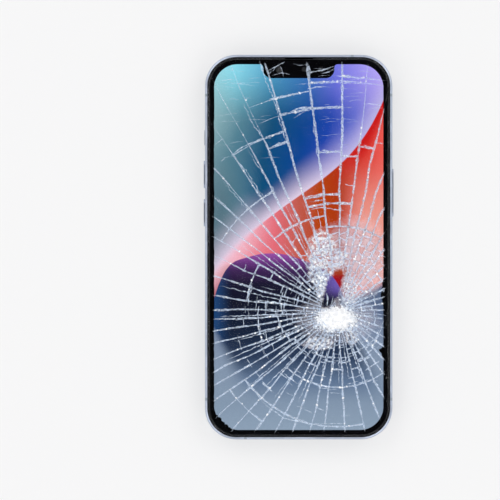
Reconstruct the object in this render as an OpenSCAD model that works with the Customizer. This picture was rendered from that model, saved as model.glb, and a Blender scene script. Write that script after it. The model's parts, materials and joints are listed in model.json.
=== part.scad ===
// A pocket phone with a shattered screen, lying on its back.
// X runs across the phone, +Y towards its top edge and +Z out through the screen.
// The phone lies on its two camera rings, which end at z = 0.

/* [Body] */
// Width of the aluminium frame
body_w = 71.5; // [70:0.1:86]
// Length of the aluminium frame
body_l = 146.7; // [122:0.1:176]
// Thickness from rear glass to cover glass
body_t = 7.8; // [7.4:0.1:9.4]
// Radius of the four corners
corner_r = 12; // [10:0.1:14]
// Rounding of the frame's long edges
edge_r = 0.9; // [0.3:0.05:1.1]
// Width of metal left showing beside the glass
rim = 1.2; // [1.15:0.05:1.4]
// Thickness of the frame's side walls
wall = 1.9; // [1.7:0.05:2.4]
// Thickness of the plate across the middle of the frame
plate_t = 0.4; // [0.3:0.05:0.6]

/* [Screen] */
// Thickness of the cover glass
cover_t = 0.7; // [0.5:0.05:0.9]
// Thickness of the clear film that holds the broken glass
film_t = 0.15; // [0.1:0.05:0.25]
// Thickness of the display panel with its metal back
panel_t = 1.1; // [0.9:0.05:1.4]
// Width of the sensor notch at the top of the screen
notch_w = 27; // [20:0.5:34]
// Depth of the sensor notch below the lit area's top edge
notch_l = 5.4; // [4:0.1:7]
// Black border between frame edge and lit area, at the top and bottom
border_end = 3.55; // [3:0.05:5]

/* [Breakage] */
// Point of impact, to the right of the screen's middle
impact_x = 15; // [0:0.5:20]
// Point of impact, above the screen's middle
impact_y = -24.5; // [-35:0.5:35]
// Opening of each crack
crack_gap = 0.08; // [0.04:0.01:0.16]
// Radius crushed to powder at the point of impact
crater_r = 2.6; // [2:0.1:4]

/* [Rear] */
// Thickness of the rear glass
rear_t = 0.8; // [0.6:0.05:1]
// Distance of the raised camera corner from the frame's outer faces
plateau_in = 2.7; // [2:0.1:4]
// Width of the raised corner left beside a camera ring
plateau_side = 2.25; // [1.5:0.05:3]
// Rounding of the raised corner
plateau_r = 8.3; // [5:0.1:9]
// Height of the raised camera corner
plateau_h = 1.3; // [0.8:0.1:2]
// Height of the camera rings above the raised corner
ring_h = 1.5; // [0.8:0.1:2]
// Outer radius of a camera ring
ring_r = 7.05; // [5.8:0.05:8.5]
// Wall of a camera ring
ring_wall = 0.65; // [0.5:0.05:0.9]
// Radius of the flash window
flash_r = 2.8; // [2:0.1:3.2]

/* [Buttons] */
// Height of a side button, across the thickness of the phone
button_h = 3; // [2.4:0.1:3.6]
// How far the buttons stand out of the frame
button_proud = 0.5; // [0.3:0.05:0.7]
// Travel of a button
button_travel = 0.25; // [0.15:0.05:0.35]
// Length of the power button
power_len = 18.3; // [14:0.1:22]
// Length of each volume button
volume_len = 10.4; // [8:0.1:11]
// Length of the ring switch's slot
switch_len = 6; // [5:0.1:7]
// Travel of the ring switch, across the thickness of the phone
switch_travel = 0.8; // [0.6:0.1:0.9]

/* [Sockets] */
// Width of the charging socket
port_w = 8.6; // [7:0.1:9.5]
// Height of the charging socket
port_h = 2.9; // [2.4:0.1:3.4]
// Radius of the sound holes beside the socket
hole_r = 0.75; // [0.5:0.05:0.9]
// Length of the SIM tray's face
tray_len = 14.8; // [13:0.1:17]
// Height of the SIM tray's face
tray_h = 2.3; // [2:0.1:2.8]

/* [Hidden] */
$fn = 96;

// Fits, named once
slip = 0.05;        // glass in frame, parts that only drop in
run = 0.1;          // round each thing that moves
seal_t = 0.15;      // adhesive seals and the strips under the battery
air = 0.3;          // between neighbours inside
edge_drop = 0.12;   // how far the frame's rims lie below both glasses

// Heights, from the plane that the camera rings lie on
z_rear = plateau_h + ring_h;
z_front = z_rear + body_t;
z_mid = (z_rear + z_front) / 2;
z_rear_inner = z_rear + rear_t;
coil_gap = 0.55;
z_plate = z_rear_inner + coil_gap;
z_floor = z_plate + plate_t;
z_cover = z_front - cover_t;
z_film = z_cover - film_t;
z_panel = z_film - panel_t;
z_roof = z_panel - air;         // nothing inside reaches higher, under the panel

// Inner faces of the frame's walls
in_x = body_w / 2 - wall;
in_y = body_l / 2 - wall;
top_y = body_l / 2;

glass_w = body_w - 2 * (rim + slip);
glass_l = body_l - 2 * (rim + slip);
glass_r = corner_r - rim - slip;
panel_w = body_w - 2 * (wall + air);
panel_l = body_l - 2 * (wall + air);
panel_r = corner_r - wall - air;
notch_y = top_y - border_end - notch_l;

// Rear camera corner: two cameras on the diagonal, the flash and the microphone in the others
camera_side = 2 * (ring_r - ring_wall) - 0.4;
camera_step = camera_side + 0.4;
camera_top = z_roof - 0.5;
corner_at = [body_w / 2 - plateau_in, top_y - plateau_in];
lens_in = plateau_side + ring_r;
plateau_w = camera_step + 2 * lens_in;
lens_1 = corner_at - [lens_in, lens_in];
lens_2 = lens_1 - [camera_step, camera_step];
flash_at = corner_at - [plateau_w - 7.5, 7.5];
rear_mic_at = corner_at - [7.9, plateau_w - 8];
rear_mic_r = 0.9;

// Side controls, as distances down from the top edge
power_y = top_y - 52.5;
switch_y = top_y - 31.5;
volume_up_y = top_y - 45.5;
volume_down_y = top_y - 60.2;
tray_y = top_y - 83;
flange_t = 0.5;
flange_out = 0.5;
flange_in = 0.2;
nub_l = 0.5;
contact_t = 0.7;
contact_room = slip + flange_t + nub_l + button_travel + slip + contact_t + air;
switch_slot_h = 2.6;
switch_slot_r = 0.8;
switch_cap_h = switch_slot_h - switch_travel - 2 * run;
switch_flange_h = 2.7;

// SIM tray and its reader
tray_deep = 20;
tray_t = 1;
card = [8.8, 12.3, 0.67];
card_at = [-in_x + 9, tray_y];

// Bottom edge
screw_x = 7.6;
screw_head_r = 0.9;
screw_shank_r = 0.6;
screw_head_t = 0.6;
screw_l = 3.6;
hole_pitch = 2.3;
hole_start = 11.2;
port_deep = 7;
port_wall = 0.3;
flex_t = 0.2;
holes_left = 4;
holes_right = 6;

// Antenna breaks
break_w = 1.1;
break_in = 15.4;

// Board, battery and the modules at the bottom
board_w = 24;
board_t = 0.8;
board_top_z = z_floor + board_t;
board_side = 1.7;
board_x = -in_x + board_side + board_w / 2;
board_top = top_y - 17;
motor = [22, 11.5, 3.2];
motor_at = [board_x, -in_y + 13.4 + motor[1] / 2];
board_bottom = motor_at[1] + motor[1] / 2 + 1.5;
battery_gap = 1.6;
battery_w = 2 * in_x - board_side - board_w - battery_gap - contact_room;
battery_x = in_x - contact_room - battery_w / 2;
battery_top = lens_2[1] - camera_side / 2 - 5.5;
battery_bottom = -in_y + 13.6;
battery_t = z_roof - z_floor - 2 * seal_t;
battery_r = 1.2;
battery_seam = 1.5;
battery_tab = [battery_gap + 1.4, 9, 0.2];
battery_tab_y = tray_y - tray_len / 2 - 6.8;
speaker = [22, 10.4, 3.2];
speaker_at = [in_x - 2 - speaker[0] / 2, -in_y + 0.6 + speaker[1] / 2];
board_screw_r = 0.7;
shield_below_top = 4;
display_flex_box = [8, 14, 0.15];
display_flex_at = [board_x + 4, board_top - 22];
shield_wall = 0.5;
mesh_t = 0.25;

// Charging coil and magnets behind the plate
coil_y = -2;
coil_r = 22;
coil_hole = 10.5;
coil_t = 0.35;
// One place in the ring is left free for the coil's leads
magnet_count = 18;
magnet_r = 26;
magnet = [3, 7.6, coil_t];

// Where the main cracks leave the point of impact, in degrees, chosen by hand
crack_angles = [2, 10, 18, 26, 35, 44, 53, 60, 66, 72, 77.5, 83, 89, 97, 106.5, 113.5, 118.5, 124,
    131, 137, 143, 149, 156, 164.5, 173, 179, 184, 189, 194.5, 201, 206, 211, 216, 221, 228,
    235.5, 242.5, 249, 257, 263.5, 273.5, 282.5, 291.5, 298, 306, 314, 322, 331, 340, 350];
// Rings that run right round, and shorter ones further out as [radius, from angle, to angle]
near_rings = [5, 8.5, 13.5, 20];
far_rings = [[29, 225, 312], [31, 187, 200], [32.5, 62, 98], [35, 150, 174], [36.8, 100, 132],
    [41.3, 84, 106], [44, 217, 286], [44.8, 90, 107], [51, 217, 237], [52, 118, 150],
    [59.4, 83, 89], [61, 90, 97], [63.5, 77, 83], [67.5, 107, 113], [71.7, 109, 125],
    [78, 90, 104], [84.7, 100, 114], [87.8, 79, 101], [89.7, 79, 91]];
crack_knots = [0.5, 5, 8, 12, 17, 23, 30, 38, 47, 57, 68, 80, 93, 107, 130];
crushed_t = cover_t - 0.2;
// How far a crack wanders sideways: a share of the distance from the impact, up to a limit
wander = 0.03;
most_wander = 0.9;
// From angle, to angle and radius of the hole that a lost shard leaves
lost_piece = [89, 106.5, 15.5];
cracks = len(crack_angles);

// Earpiece slit at the top of the cover glass
earpiece_w = 11;
earpiece_l = 0.6;

// Rear cameras: seats inside the rings
cover_seat = 0.25;
lens_cover_t = 0.6;
lens_seat = 2.2;
lens_l = 2.8;
wide_barrel = 2.5;
ultra_wide_barrel = 2.1;
bracket_t = 0.3;
flash_t = 0.9;

// Sensors under the notch
sensor_y = (notch_y + in_y) / 2 - 0.2;
sensor_l = in_y - notch_y - 1.4;
sensor_base = z_panel - 0.9;
// Each sensor's middle along X, its width and its lens radius
front_camera_size = [-7.5, 5.2, 1.6];
infrared_size = [8.4, 4.6, 1.3];
dots_size = [2, 4.2, 1];

// Modules at the ends
earpiece_box = [15, 5.6, 2.4];
earpiece_at = [-9, notch_y - 3.2];
microphone_box = [4.2, 3, 1.6];
socket_flex_l = 9;

// ---- Shared shapes

module rounded_rect(w, l, r) {
    square([w - 2 * r, l], center = true);
    square([w, l - 2 * r], center = true);
    for (x = [-1, 1], y = [-1, 1])
        translate([x * (w / 2 - r), y * (l / 2 - r)]) circle(r);
}

module rounded_plate(w, l, r, z0, z1) {
    translate([0, 0, z0]) linear_extrude(z1 - z0) rounded_rect(w, l, r);
}

// A flat ring that follows the frame, between two distances in from its outer face
module follow_ring(in_a, in_b, z0, z1) {
    difference() {
        rounded_plate(body_w - 2 * in_a, body_l - 2 * in_a, corner_r - in_a, z0, z1);
        rounded_plate(body_w - 2 * in_b, body_l - 2 * in_b, corner_r - in_b, z0 - 1, z1 + 1);
    }
}

// A round-ended bar along X from x0 to x1: len along Y and h along Z
module slot_x(x0, x1, len, h) {
    translate([x0, 0, 0]) rotate([90, 0, 90]) linear_extrude(x1 - x0) {
        square([len - h, h], center = true);
        for (s = [-1, 1]) translate([s * (len - h) / 2, 0]) circle(h / 2);
    }
}

// The same along Y from y0 to y1: len along X and h along Z
module slot_y(y0, y1, len, h) {
    rotate([0, 0, 90]) slot_x(y0, y1, len, h);
}

// A bar along X, t long from the origin, with a rounded rectangle for its section
module bar_x(t, len, h, r) {
    rotate([90, 0, 90]) linear_extrude(t) rounded_rect(len, h, r);
}

// A box standing on z0, centred on a point in the plane
module block(at, size, z0) {
    translate([at[0] - size[0] / 2, at[1] - size[1] / 2, z0]) cube(size);
}

module disc(at, r, z0, z1) {
    translate([at[0], at[1], z0]) cylinder(r = r, h = z1 - z0);
}

function arc(c, r, a0, a1, n = 6) =
    [for (k = [0:n]) let(a = a0 + (a1 - a0) * k / n) c + r * [cos(a), sin(a)]];

// ---- Frame

// The wall's section: first number is the distance in from the outer face, second the height
function wall_section() = let(
    z0 = z_rear + edge_drop,
    z1 = z_front - edge_drop,
    rear_ledge = z_rear_inner + seal_t,
    front_ledge = z_cover - seal_t
) concat(
    arc([edge_r, z0 + edge_r], edge_r, 180, 270),
    [[rim, z0], [rim, rear_ledge], [wall, rear_ledge], [wall, front_ledge], [rim, front_ledge],
        [rim, z1]],
    arc([edge_r, z1 - edge_r], edge_r, 90, 180)
);

// The section swept round the phone's outline
module wall_band() {
    for (side = [[body_w, body_l, 0], [body_l, body_w, 90], [body_w, body_l, 180],
            [body_l, body_w, 270]]) {
        run_l = side[1] - 2 * corner_r;
        rotate([0, 0, side[2]]) translate([0, run_l / 2, 0]) rotate([90, 0, 0])
            linear_extrude(run_l)
                polygon([for (p = wall_section()) [side[0] / 2 - p[0], p[1]]]);
    }
    for (x = [-1, 1], y = [-1, 1])
        translate([x * (body_w / 2 - corner_r), y * (body_l / 2 - corner_r), 0])
            rotate([0, 0, x > 0 ? (y > 0 ? 0 : 270) : (y > 0 ? 90 : 180)])
                rotate_extrude(angle = 90)
                    polygon([for (p = wall_section()) [corner_r - p[0], p[1]]]);
}

// Boxes where the metal wall is broken by plastic: two on each side, one at each end
module break_boxes() {
    tall = 2 * body_t;
    for (x = [-1, 1], y = [-1, 1])
        block([x * (body_w / 2 - wall / 2), y * (body_l / 2 - break_in)],
            [wall, break_w, tall], z_mid - body_t);
    for (y = [-1, 1])
        block([y * (body_w / 2 - break_in), y * (body_l / 2 - wall / 2)],
            [break_w, wall, tall], z_mid - body_t);
}

module camera_openings() {
    for (at = [lens_1, lens_2])
        block(at, [camera_side + 2 * air, camera_side + 2 * air, 2], z_plate - 1);
    disc(flash_at, flash_r + air, z_plate - 1, z_floor + 1);
    disc(rear_mic_at, rear_mic_r + air, z_plate - 1, z_floor + 1);
}

module side_openings() {
    at_z = [0, 0, z_mid];
    // power button, volume buttons, ring switch and SIM tray
    translate([0, power_y, 0] + at_z)
        slot_x(in_x - 1, body_w / 2 + 1, power_len + 2 * run, button_h + 2 * run);
    for (y = [volume_up_y, volume_down_y])
        translate([0, y, 0] + at_z)
            slot_x(-body_w / 2 - 1, -in_x + 1, volume_len + 2 * run, button_h + 2 * run);
    translate([-body_w / 2 - 1, switch_y, 0] + at_z)
        bar_x(wall + 2, switch_len, switch_slot_h, switch_slot_r);
    translate([0, tray_y, 0] + at_z)
        slot_x(-body_w / 2 - 1, -in_x + 1, tray_len + 2 * run, tray_h + 2 * run);
}

// Middles of the sound holes along the bottom edge
function sound_holes() = concat(
    [for (k = [0:holes_left - 1]) -hole_start - k * hole_pitch],
    [for (k = [0:holes_right - 1]) hole_start + k * hole_pitch]
);

module bottom_openings() {
    translate([0, 0, z_mid]) slot_y(-body_l / 2 - 1, -in_y + 1, port_w, port_h);
    for (x = sound_holes())
        translate([x, -in_y + 1, z_mid]) rotate([90, 0, 0]) cylinder(r = hole_r, h = wall + 2);
    for (x = [-screw_x, screw_x]) translate([x, -in_y + 1, z_mid]) rotate([90, 0, 0]) {
        cylinder(r = screw_shank_r + slip, h = wall + 2);
        translate([0, 0, 1 + wall - screw_head_t - slip])
            cylinder(r = screw_head_r + run, h = 2);
    }
}

module frame() {
    color("#9aa9ba") difference() {
        union() {
            wall_band();
            rounded_plate(body_w - wall, body_l - wall, corner_r - wall / 2, z_plate, z_floor);
        }
        break_boxes();
        camera_openings();
        side_openings();
        bottom_openings();
    }
}

module antenna_breaks() {
    color("#7f8c9c") intersection() {
        wall_band();
        break_boxes();
    }
}

// ---- Rear glass and what fits it

module rear_glass() {
    color("#a5b6c8") difference() {
        union() {
            rounded_plate(glass_w, glass_l, glass_r, z_rear, z_rear_inner);
            translate(corner_at - [plateau_w / 2, plateau_w / 2])
                rounded_plate(plateau_w, plateau_w, plateau_r, ring_h, z_rear_inner);
        }
        for (at = [lens_1, lens_2]) disc(at, ring_r + slip, -1, z_rear_inner + 1);
        disc(flash_at, flash_r + slip, -1, z_rear_inner + 1);
        disc(rear_mic_at, rear_mic_r + slip, -1, z_rear_inner + 1);
    }
}

module rear_seal() {
    color("#20242a") follow_ring(rim + slip, wall, z_rear_inner, z_rear_inner + seal_t);
}

// ---- Broken cover glass

function rule(a, b) = let(v = 4375.85 * sin(127.1 * a + 311.7 * b)) v - floor(v);

function crack_angle(i) = crack_angles[i % cracks] + 360 * floor(i / cracks);

// A crack wanders sideways a little at each knot
function knot_point(i, k) = let(
    a = crack_angle(i),
    r = crack_knots[k],
    aside = (rule(i % cracks, k) - 0.5) * min(most_wander, wander * r)
) [impact_x + r * cos(a) - aside * sin(a), impact_y + r * sin(a) + aside * cos(a)];

function on_crack(i, r, side) = let(
    k = len([for (q = crack_knots) if (q <= r) q]) - 1,
    t = (r - crack_knots[k]) / (crack_knots[k + 1] - crack_knots[k]),
    a = crack_angle(i)
) (1 - t) * knot_point(i, k) + t * knot_point(i, k + 1)
    + side * crack_gap / 2 * [-sin(a), cos(a)];

// Radii at which the glass between crack i and the next one is broken across
function breaks_across(i) = let(
    a = (crack_angle(i) + crack_angle(i + 1)) / 2
) concat(
    [crater_r],
    [for (k = [0:len(near_rings) - 1])
        if (rule(i + 60, k) > 0.22) near_rings[k] * (0.86 + 0.28 * rule(i, k + 30))],
    [for (f = far_rings) if (a > f[1] && a < f[2]) f[0]],
    [crack_knots[len(crack_knots) - 1] - 1]
);

module shard(i, r0, r1) {
    between = [for (q = crack_knots) if (q > r0 + 0.2 && q < r1 - 0.2) q];
    radii = concat([r0 + crack_gap / 2], between, [r1 - crack_gap / 2]);
    n = len(radii);
    polygon(concat(
        [for (k = [0:n - 1]) on_crack(i, radii[k], 1)],
        [for (k = [n - 1:-1:0]) on_crack(i + 1, radii[k], -1)]
    ));
}

// Is a shard between cracks i and i + 1, out to radius r1, the one that fell out?
function is_lost(i, r1) =
    crack_angle(i) >= lost_piece[0] && crack_angle(i + 1) <= lost_piece[1] && r1 < lost_piece[2];

module cover_outline() {
    difference() {
        rounded_rect(glass_w, glass_l, glass_r);
        translate([0, glass_l / 2]) square([earpiece_w, 2 * earpiece_l], center = true);
    }
}

module cover_glass() {
    color("#dfe8f0", 0.5) {
        intersection() {
            translate([0, 0, z_cover]) linear_extrude(cover_t) cover_outline();
            union() for (i = [0:cracks - 1]) {
                radii = breaks_across(i);
                for (k = [0:len(radii) - 2])
                    if (!is_lost(i, radii[k + 1]))
                        translate([0, 0, z_cover - 1]) linear_extrude(cover_t + 2)
                            shard(i, radii[k], radii[k + 1]);
            }
        }
        // the glass crushed at the point of impact, still stuck to the film
        disc([impact_x, impact_y], crater_r - crack_gap, z_cover, z_cover + crushed_t);
    }
}

module cover_seal() {
    color("#15171a") follow_ring(rim + slip, wall, z_cover - seal_t, z_cover);
}

// Everything between the cover glass and the middle leaves the notch clear for the sensors
module notched_plate(z0, z1) {
    difference() {
        rounded_plate(panel_w, panel_l, panel_r, z0, z1);
        translate([-notch_w / 2, notch_y, z0 - 1])
            cube([notch_w, border_end + notch_l, z1 - z0 + 2]);
    }
}

module adhesive_film() {
    color("#e8ecef", 0.4) notched_plate(z_film, z_cover);
}

module display_panel() {
    color("#23406e") notched_plate(z_panel, z_film);
}

module display_flex() {
    color("#b8862f") block(display_flex_at, display_flex_box, z_panel - display_flex_box[2]);
}

// ---- Power

module battery() {
    base = z_floor + seal_t;
    color("#26282c") difference() {
        translate([battery_x, (battery_top + battery_bottom) / 2, 0])
            rounded_plate(battery_w, battery_top - battery_bottom, battery_r, base, base + battery_t);
        // the step down to the pouch's folded seam
        block([battery_x, battery_top], [battery_w - 4 * battery_seam, 2 * battery_seam, battery_t],
            base + 0.6 * battery_t);
    }
}

module battery_strips() {
    color("#e4e6e8") for (s = [-1, 1])
        block([battery_x + s * battery_w / 4, (battery_top + battery_bottom) / 2],
            [7, battery_top - battery_bottom - 12, seal_t], z_floor);
}

module battery_flex() {
    at = [battery_x - battery_w / 2 - battery_tab[0] / 2, battery_tab_y];
    color("#8d5a24") block(at, battery_tab, board_top_z);
}

module charging_coil() {
    color("#b06a35") translate([0, coil_y, z_plate - coil_t]) difference() {
        cylinder(r = coil_r, h = coil_t);
        translate([0, 0, -1]) cylinder(r = coil_hole, h = coil_t + 2);
    }
}

module magnet_ring() {
    color("#6d7278") for (k = [0:magnet_count - 2])
        translate([0, coil_y, 0]) rotate([0, 0, (k + 1) * 360 / magnet_count - 90])
            block([magnet_r, 0], magnet, z_plate - coil_t);
}

// ---- Board

module board_outline() {
    difference() {
        translate([board_x - board_w / 2, board_bottom])
            square([board_w, board_top - board_bottom]);
        for (at = board_screw_places()) translate(at) circle(board_screw_r + slip);
        // room for the volume buttons' and the switch's contacts
        translate([-in_x, volume_down_y - volume_len / 2 - 1])
            square([contact_room + air, switch_y - volume_down_y + volume_len]);
    }
}

function board_screw_places() = [
    [board_x + board_w / 2 - 1.6, board_top - 1.6],
    [board_x - board_w / 2 + 1.6, board_top - 1.6],
    [board_x + board_w / 2 - 1.6, board_bottom + 1.6],
    [board_x - board_w / 2 + 1.6, board_bottom + 1.6]
];

module logic_board() {
    color("#1d4d3c") translate([0, 0, z_floor]) linear_extrude(board_t) board_outline();
}

module board_screws() {
    color("#c9ccd0") for (at = board_screw_places()) {
        disc(at, board_screw_r, z_floor, board_top_z + 0.05);
        disc(at, board_screw_r + 0.5, board_top_z, board_top_z + 0.5);
    }
}

module board_shield() {
    can = [board_w - 5.4, board_top - tray_y - tray_len / 2 - 8, z_roof - board_top_z - 0.1];
    at = [board_x + 1.9, board_top - shield_below_top - can[1] / 2];
    color("#b9bec4") difference() {
        block(at, can, board_top_z);
        block(at, can - [2 * shield_wall, 2 * shield_wall, shield_wall - 1], board_top_z - 1);
    }
}

// The metal cage that the SIM tray slides into
module sim_reader() {
    cage = [tray_deep - wall - 1, tray_len + 1.6, tray_t + 1.2];
    at = [-in_x + cage[0] / 2 + 0.6, tray_y];
    base = z_mid - cage[2] / 2;
    color("#aeb4ba") difference() {
        union() {
            block(at, cage, base);
            block([at[0] + 1, tray_y], [cage[0] - 4, cage[1], base + 0.1 - board_top_z], board_top_z);
        }
        block([at[0] - 0.5, tray_y], [cage[0] - 0.4, tray_len - 1 + 2 * run, tray_t + 2 * run],
            z_mid - tray_t / 2 - run);
    }
}

// ---- SIM tray and card

module sim_tray() {
    color("#9aa9ba") difference() {
        union() {
            translate([0, tray_y, z_mid]) slot_x(-body_w / 2, -in_x, tray_len, tray_h);
            block([-in_x + (tray_deep - wall) / 2 - 0.6, tray_y],
                [tray_deep - wall - 1.2, tray_len - 1, tray_t], z_mid - tray_t / 2);
        }
        // the card's pocket, from above, and the hole for the release pin
        block(card_at, card + [2 * slip, 2 * slip, 1], z_mid + tray_t / 2 - card[2]);
        translate([-body_w / 2 - 1, tray_y - tray_len / 2 + 2, z_mid]) rotate([0, 90, 0])
            cylinder(r = 0.4, h = wall - 0.3 + 1);
    }
}

module sim_card() {
    color("#d9b45a") block(card_at, card, z_mid + tray_t / 2 - card[2]);
}

// ---- Rear cameras

// A camera body with a stepped barrel that opens towards the lens cover
module camera_body(at, barrel_r) {
    translate([at[0], at[1], 0]) {
        difference() {
            union() {
                block([0, 0], [camera_side, camera_side, camera_top - z_plate - 0.2], z_plate + 0.2);
                cylinder(r = ring_r - ring_wall - 0.3, h = z_plate + 0.4);
            }
            // the seat of the cover, the funnel behind it and the barrel for the lens
            translate([0, 0, -1]) cylinder(r = ring_r, h = 1 + cover_seat + lens_cover_t);
            translate([0, 0, cover_seat]) cylinder(r1 = barrel_r + 2.2, r2 = barrel_r + 1, h = 1.6);
            translate([0, 0, lens_seat - 0.6]) cylinder(r = barrel_r, h = lens_l + 0.6);
        }
    }
}

module wide_camera() {
    color("#16181c") camera_body(lens_2, wide_barrel);
}

module ultra_wide_camera() {
    color("#16181c") camera_body(lens_1, ultra_wide_barrel);
}

// A front element: a shallow dome on a short cylinder, seated on the bottom of the barrel
module lens(at, r) {
    dome_r = 1.6 * r;
    translate([at[0], at[1], 0]) intersection() {
        translate([0, 0, lens_seat]) cylinder(r = r, h = lens_l);
        translate([0, 0, lens_seat + dome_r]) sphere(dome_r);
    }
}

module wide_lens() {
    color("#2c3350", 0.8) lens(lens_2, wide_barrel - slip);
}

module ultra_wide_lens() {
    color("#2c3350", 0.8) lens(lens_1, ultra_wide_barrel - slip);
}

module camera_ring(at) {
    translate([at[0], at[1], 0]) rotate_extrude() polygon([
        [ring_r - ring_wall, 0], [ring_r - 0.3, 0], [ring_r, 0.3], [ring_r, z_rear_inner],
        [ring_r + 0.5, z_rear_inner], [ring_r + 0.5, z_rear_inner + 0.2],
        [ring_r - ring_wall, z_rear_inner + 0.2]
    ]);
}

module wide_camera_ring() {
    color("#aebbc9") camera_ring(lens_2);
}

module ultra_wide_camera_ring() {
    color("#aebbc9") camera_ring(lens_1);
}

module lens_cover(at) {
    disc(at, ring_r - ring_wall - 0.02, cover_seat, cover_seat + lens_cover_t);
}

module wide_lens_cover() {
    color("#101216", 0.6) lens_cover(lens_2);
}

module ultra_wide_lens_cover() {
    color("#101216", 0.6) lens_cover(lens_1);
}

// One steel plate holds both cameras down from inside
module camera_bracket() {
    mid = (lens_1 + lens_2) / 2;
    color("#8f959c") {
        block(mid, [camera_side + camera_step + 1, camera_side / 2, bracket_t], camera_top);
        for (at = [lens_1, lens_2])
            block(at, [camera_side - 1, camera_side - 1, bracket_t], camera_top);
    }
}

module flash_window() {
    color("#f4ecd2") disc(flash_at, flash_r, ring_h, ring_h + flash_t);
}

module flash_module() {
    color("#e9c94a") {
        disc(flash_at, flash_r, ring_h + flash_t, z_floor + 0.4);
        block(flash_at, [7, 7, 0.4], z_floor + 0.1);
    }
}

module rear_microphone() {
    color("#4a5058") {
        disc(rear_mic_at, rear_mic_r, ring_h + 0.25, z_floor + 0.4);
        block(rear_mic_at, [3.4, 4.2, 1.1], z_floor);
    }
}

// ---- Sensors under the notch, hung from one bracket against the cover glass

module sensor(size) {
    difference() {
        block([size[0], sensor_y], [size[1], sensor_l, z_cover - slip - sensor_base], sensor_base);
        disc([size[0], sensor_y], size[2], z_cover - 0.6, z_cover + 1);
    }
}

module front_camera() {
    color("#15171b") sensor(front_camera_size);
}

module infrared_camera() {
    color("#1a1416") sensor(infrared_size);
}

module dot_projector() {
    color("#1c1c22") sensor(dots_size);
}

module sensor_bracket() {
    color("#9298a0")
        block([0, sensor_y], [notch_w - 4, sensor_l, bracket_t], sensor_base - bracket_t);
}

// ---- Sound

module earpiece_speaker() {
    color("#2a2d31") block(earpiece_at, earpiece_box, z_floor);
}

module earpiece_mesh() {
    mesh_y = glass_l / 2 - earpiece_l;
    color("#3a3d42") translate([-earpiece_w / 2 + slip, mesh_y + slip, z_cover])
        cube([earpiece_w - 2 * slip, earpiece_l - 2 * slip, cover_t - 0.2]);
}

module loudspeaker() {
    color("#25282c") difference() {
        intersection() {
            block(speaker_at, speaker, z_floor + air);
            rounded_plate(panel_w, panel_l, panel_r, z_floor, z_roof);
        }
        block([speaker_at[0] - 1, speaker_at[1] - 1], [speaker[0] - 5, 5, speaker[2]],
            z_floor + air + speaker[2] - 0.4);
    }
}

// The dust meshes lie against the inside of the bottom wall, behind the sound holes
module sound_meshes() {
    color("#33363b") for (row = [[holes_left, -1], [holes_right, 1]])
        block([row[1] * (hole_start + (row[0] - 1) * hole_pitch / 2), -in_y + mesh_t / 2],
            [row[0] * hole_pitch, mesh_t, 2.4], z_mid - 1.2);
}

module bottom_microphone() {
    at = [-hole_start - 1.5 * hole_pitch, -in_y + mesh_t + 1.6];
    color("#c8a24c") block(at, microphone_box, z_mid - microphone_box[2] / 2);
}

module vibration_motor() {
    color("#a7abb0") difference() {
        block(motor_at, motor, z_floor);
        for (s = [-1, 1]) translate([motor_at[0] + s * (motor[0] / 2 - 1.5), motor_at[1] + 4.2, 0])
            cylinder(r = 0.7, h = 3 * body_t);
    }
}

// ---- Charging socket

module charging_socket() {
    at = [0, -in_y + port_deep / 2 + 0.4];
    base = z_floor + flex_t;
    color("#7c8188") difference() {
        union() {
            translate([0, 0, z_mid])
                slot_y(-in_y, -in_y + port_deep + 0.8, port_w + 2 * port_wall, port_h + 2 * port_wall);
            block(at, [port_w + 5.5, 4, 0.5], base);
            block(at, [port_w - 2, 4, z_mid - port_h / 2 - base], base);
        }
        translate([0, 0, z_mid])
            slot_y(-in_y - 1, -in_y + port_deep, port_w, port_h);
    }
}

module socket_flex() {
    at = [0, -in_y + 1.7 + socket_flex_l / 2];
    color("#3b2c1a") block(at, [2 * in_x - 22, socket_flex_l, flex_t], z_floor);
}

// A screw along Y with its head outwards and a five-lobed hole in it
module bottom_screws() {
    color("#8e9298") for (x = [-screw_x, screw_x])
        translate([x, -body_l / 2 + slip, z_mid]) rotate([-90, 0, 0]) difference() {
            union() {
                cylinder(r = screw_head_r, h = screw_head_t);
                cylinder(r = screw_shank_r, h = screw_l);
            }
            for (k = [0:4]) rotate([0, 0, 72 * k]) translate([0.28, 0, -1])
                cylinder(r = 0.16, h = 1.35);
            translate([0, 0, -1]) cylinder(r = 0.26, h = 1.35);
        }
}

// ---- Buttons

// A cap through the wall, a flange behind it and a nub for the contact, for the right-hand wall
module push_button(y, len) {
    flange_x = in_x - slip;
    translate([0, y, z_mid]) {
        slot_x(in_x - 0.2, body_w / 2 + button_proud, len, button_h);
        translate([flange_x - flange_t, 0, 0])
            bar_x(flange_t, len + 2 * flange_out, button_h - 2 * flange_in, switch_slot_r);
        slot_x(flange_x - flange_t - nub_l, flange_x - flange_t + 0.1, 2.4, 1.4);
    }
}

module power_button() {
    color("#9aa9ba") push_button(power_y, power_len);
}

module volume_up_button() {
    color("#9aa9ba") mirror([1, 0, 0]) push_button(volume_up_y, volume_len);
}

module volume_down_button() {
    color("#9aa9ba") mirror([1, 0, 0]) push_button(volume_down_y, volume_len);
}

// The contact that a button's nub presses, on a strip that stands on the plate
module contact(y) {
    back_x = in_x - contact_room + air;
    translate([back_x, y, z_mid]) rotate([0, 90, 0]) cylinder(r = 1.3, h = contact_t);
    translate([back_x, y - 2.5, z_floor]) cube([contact_t / 2, 5, z_mid + 1.4 - z_floor]);
}

module power_switch_dome() {
    color("#c7a23f") contact(power_y);
}

module volume_switch_domes() {
    color("#c7a23f") mirror([1, 0, 0]) for (y = [volume_up_y, volume_down_y]) contact(y);
}

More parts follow.
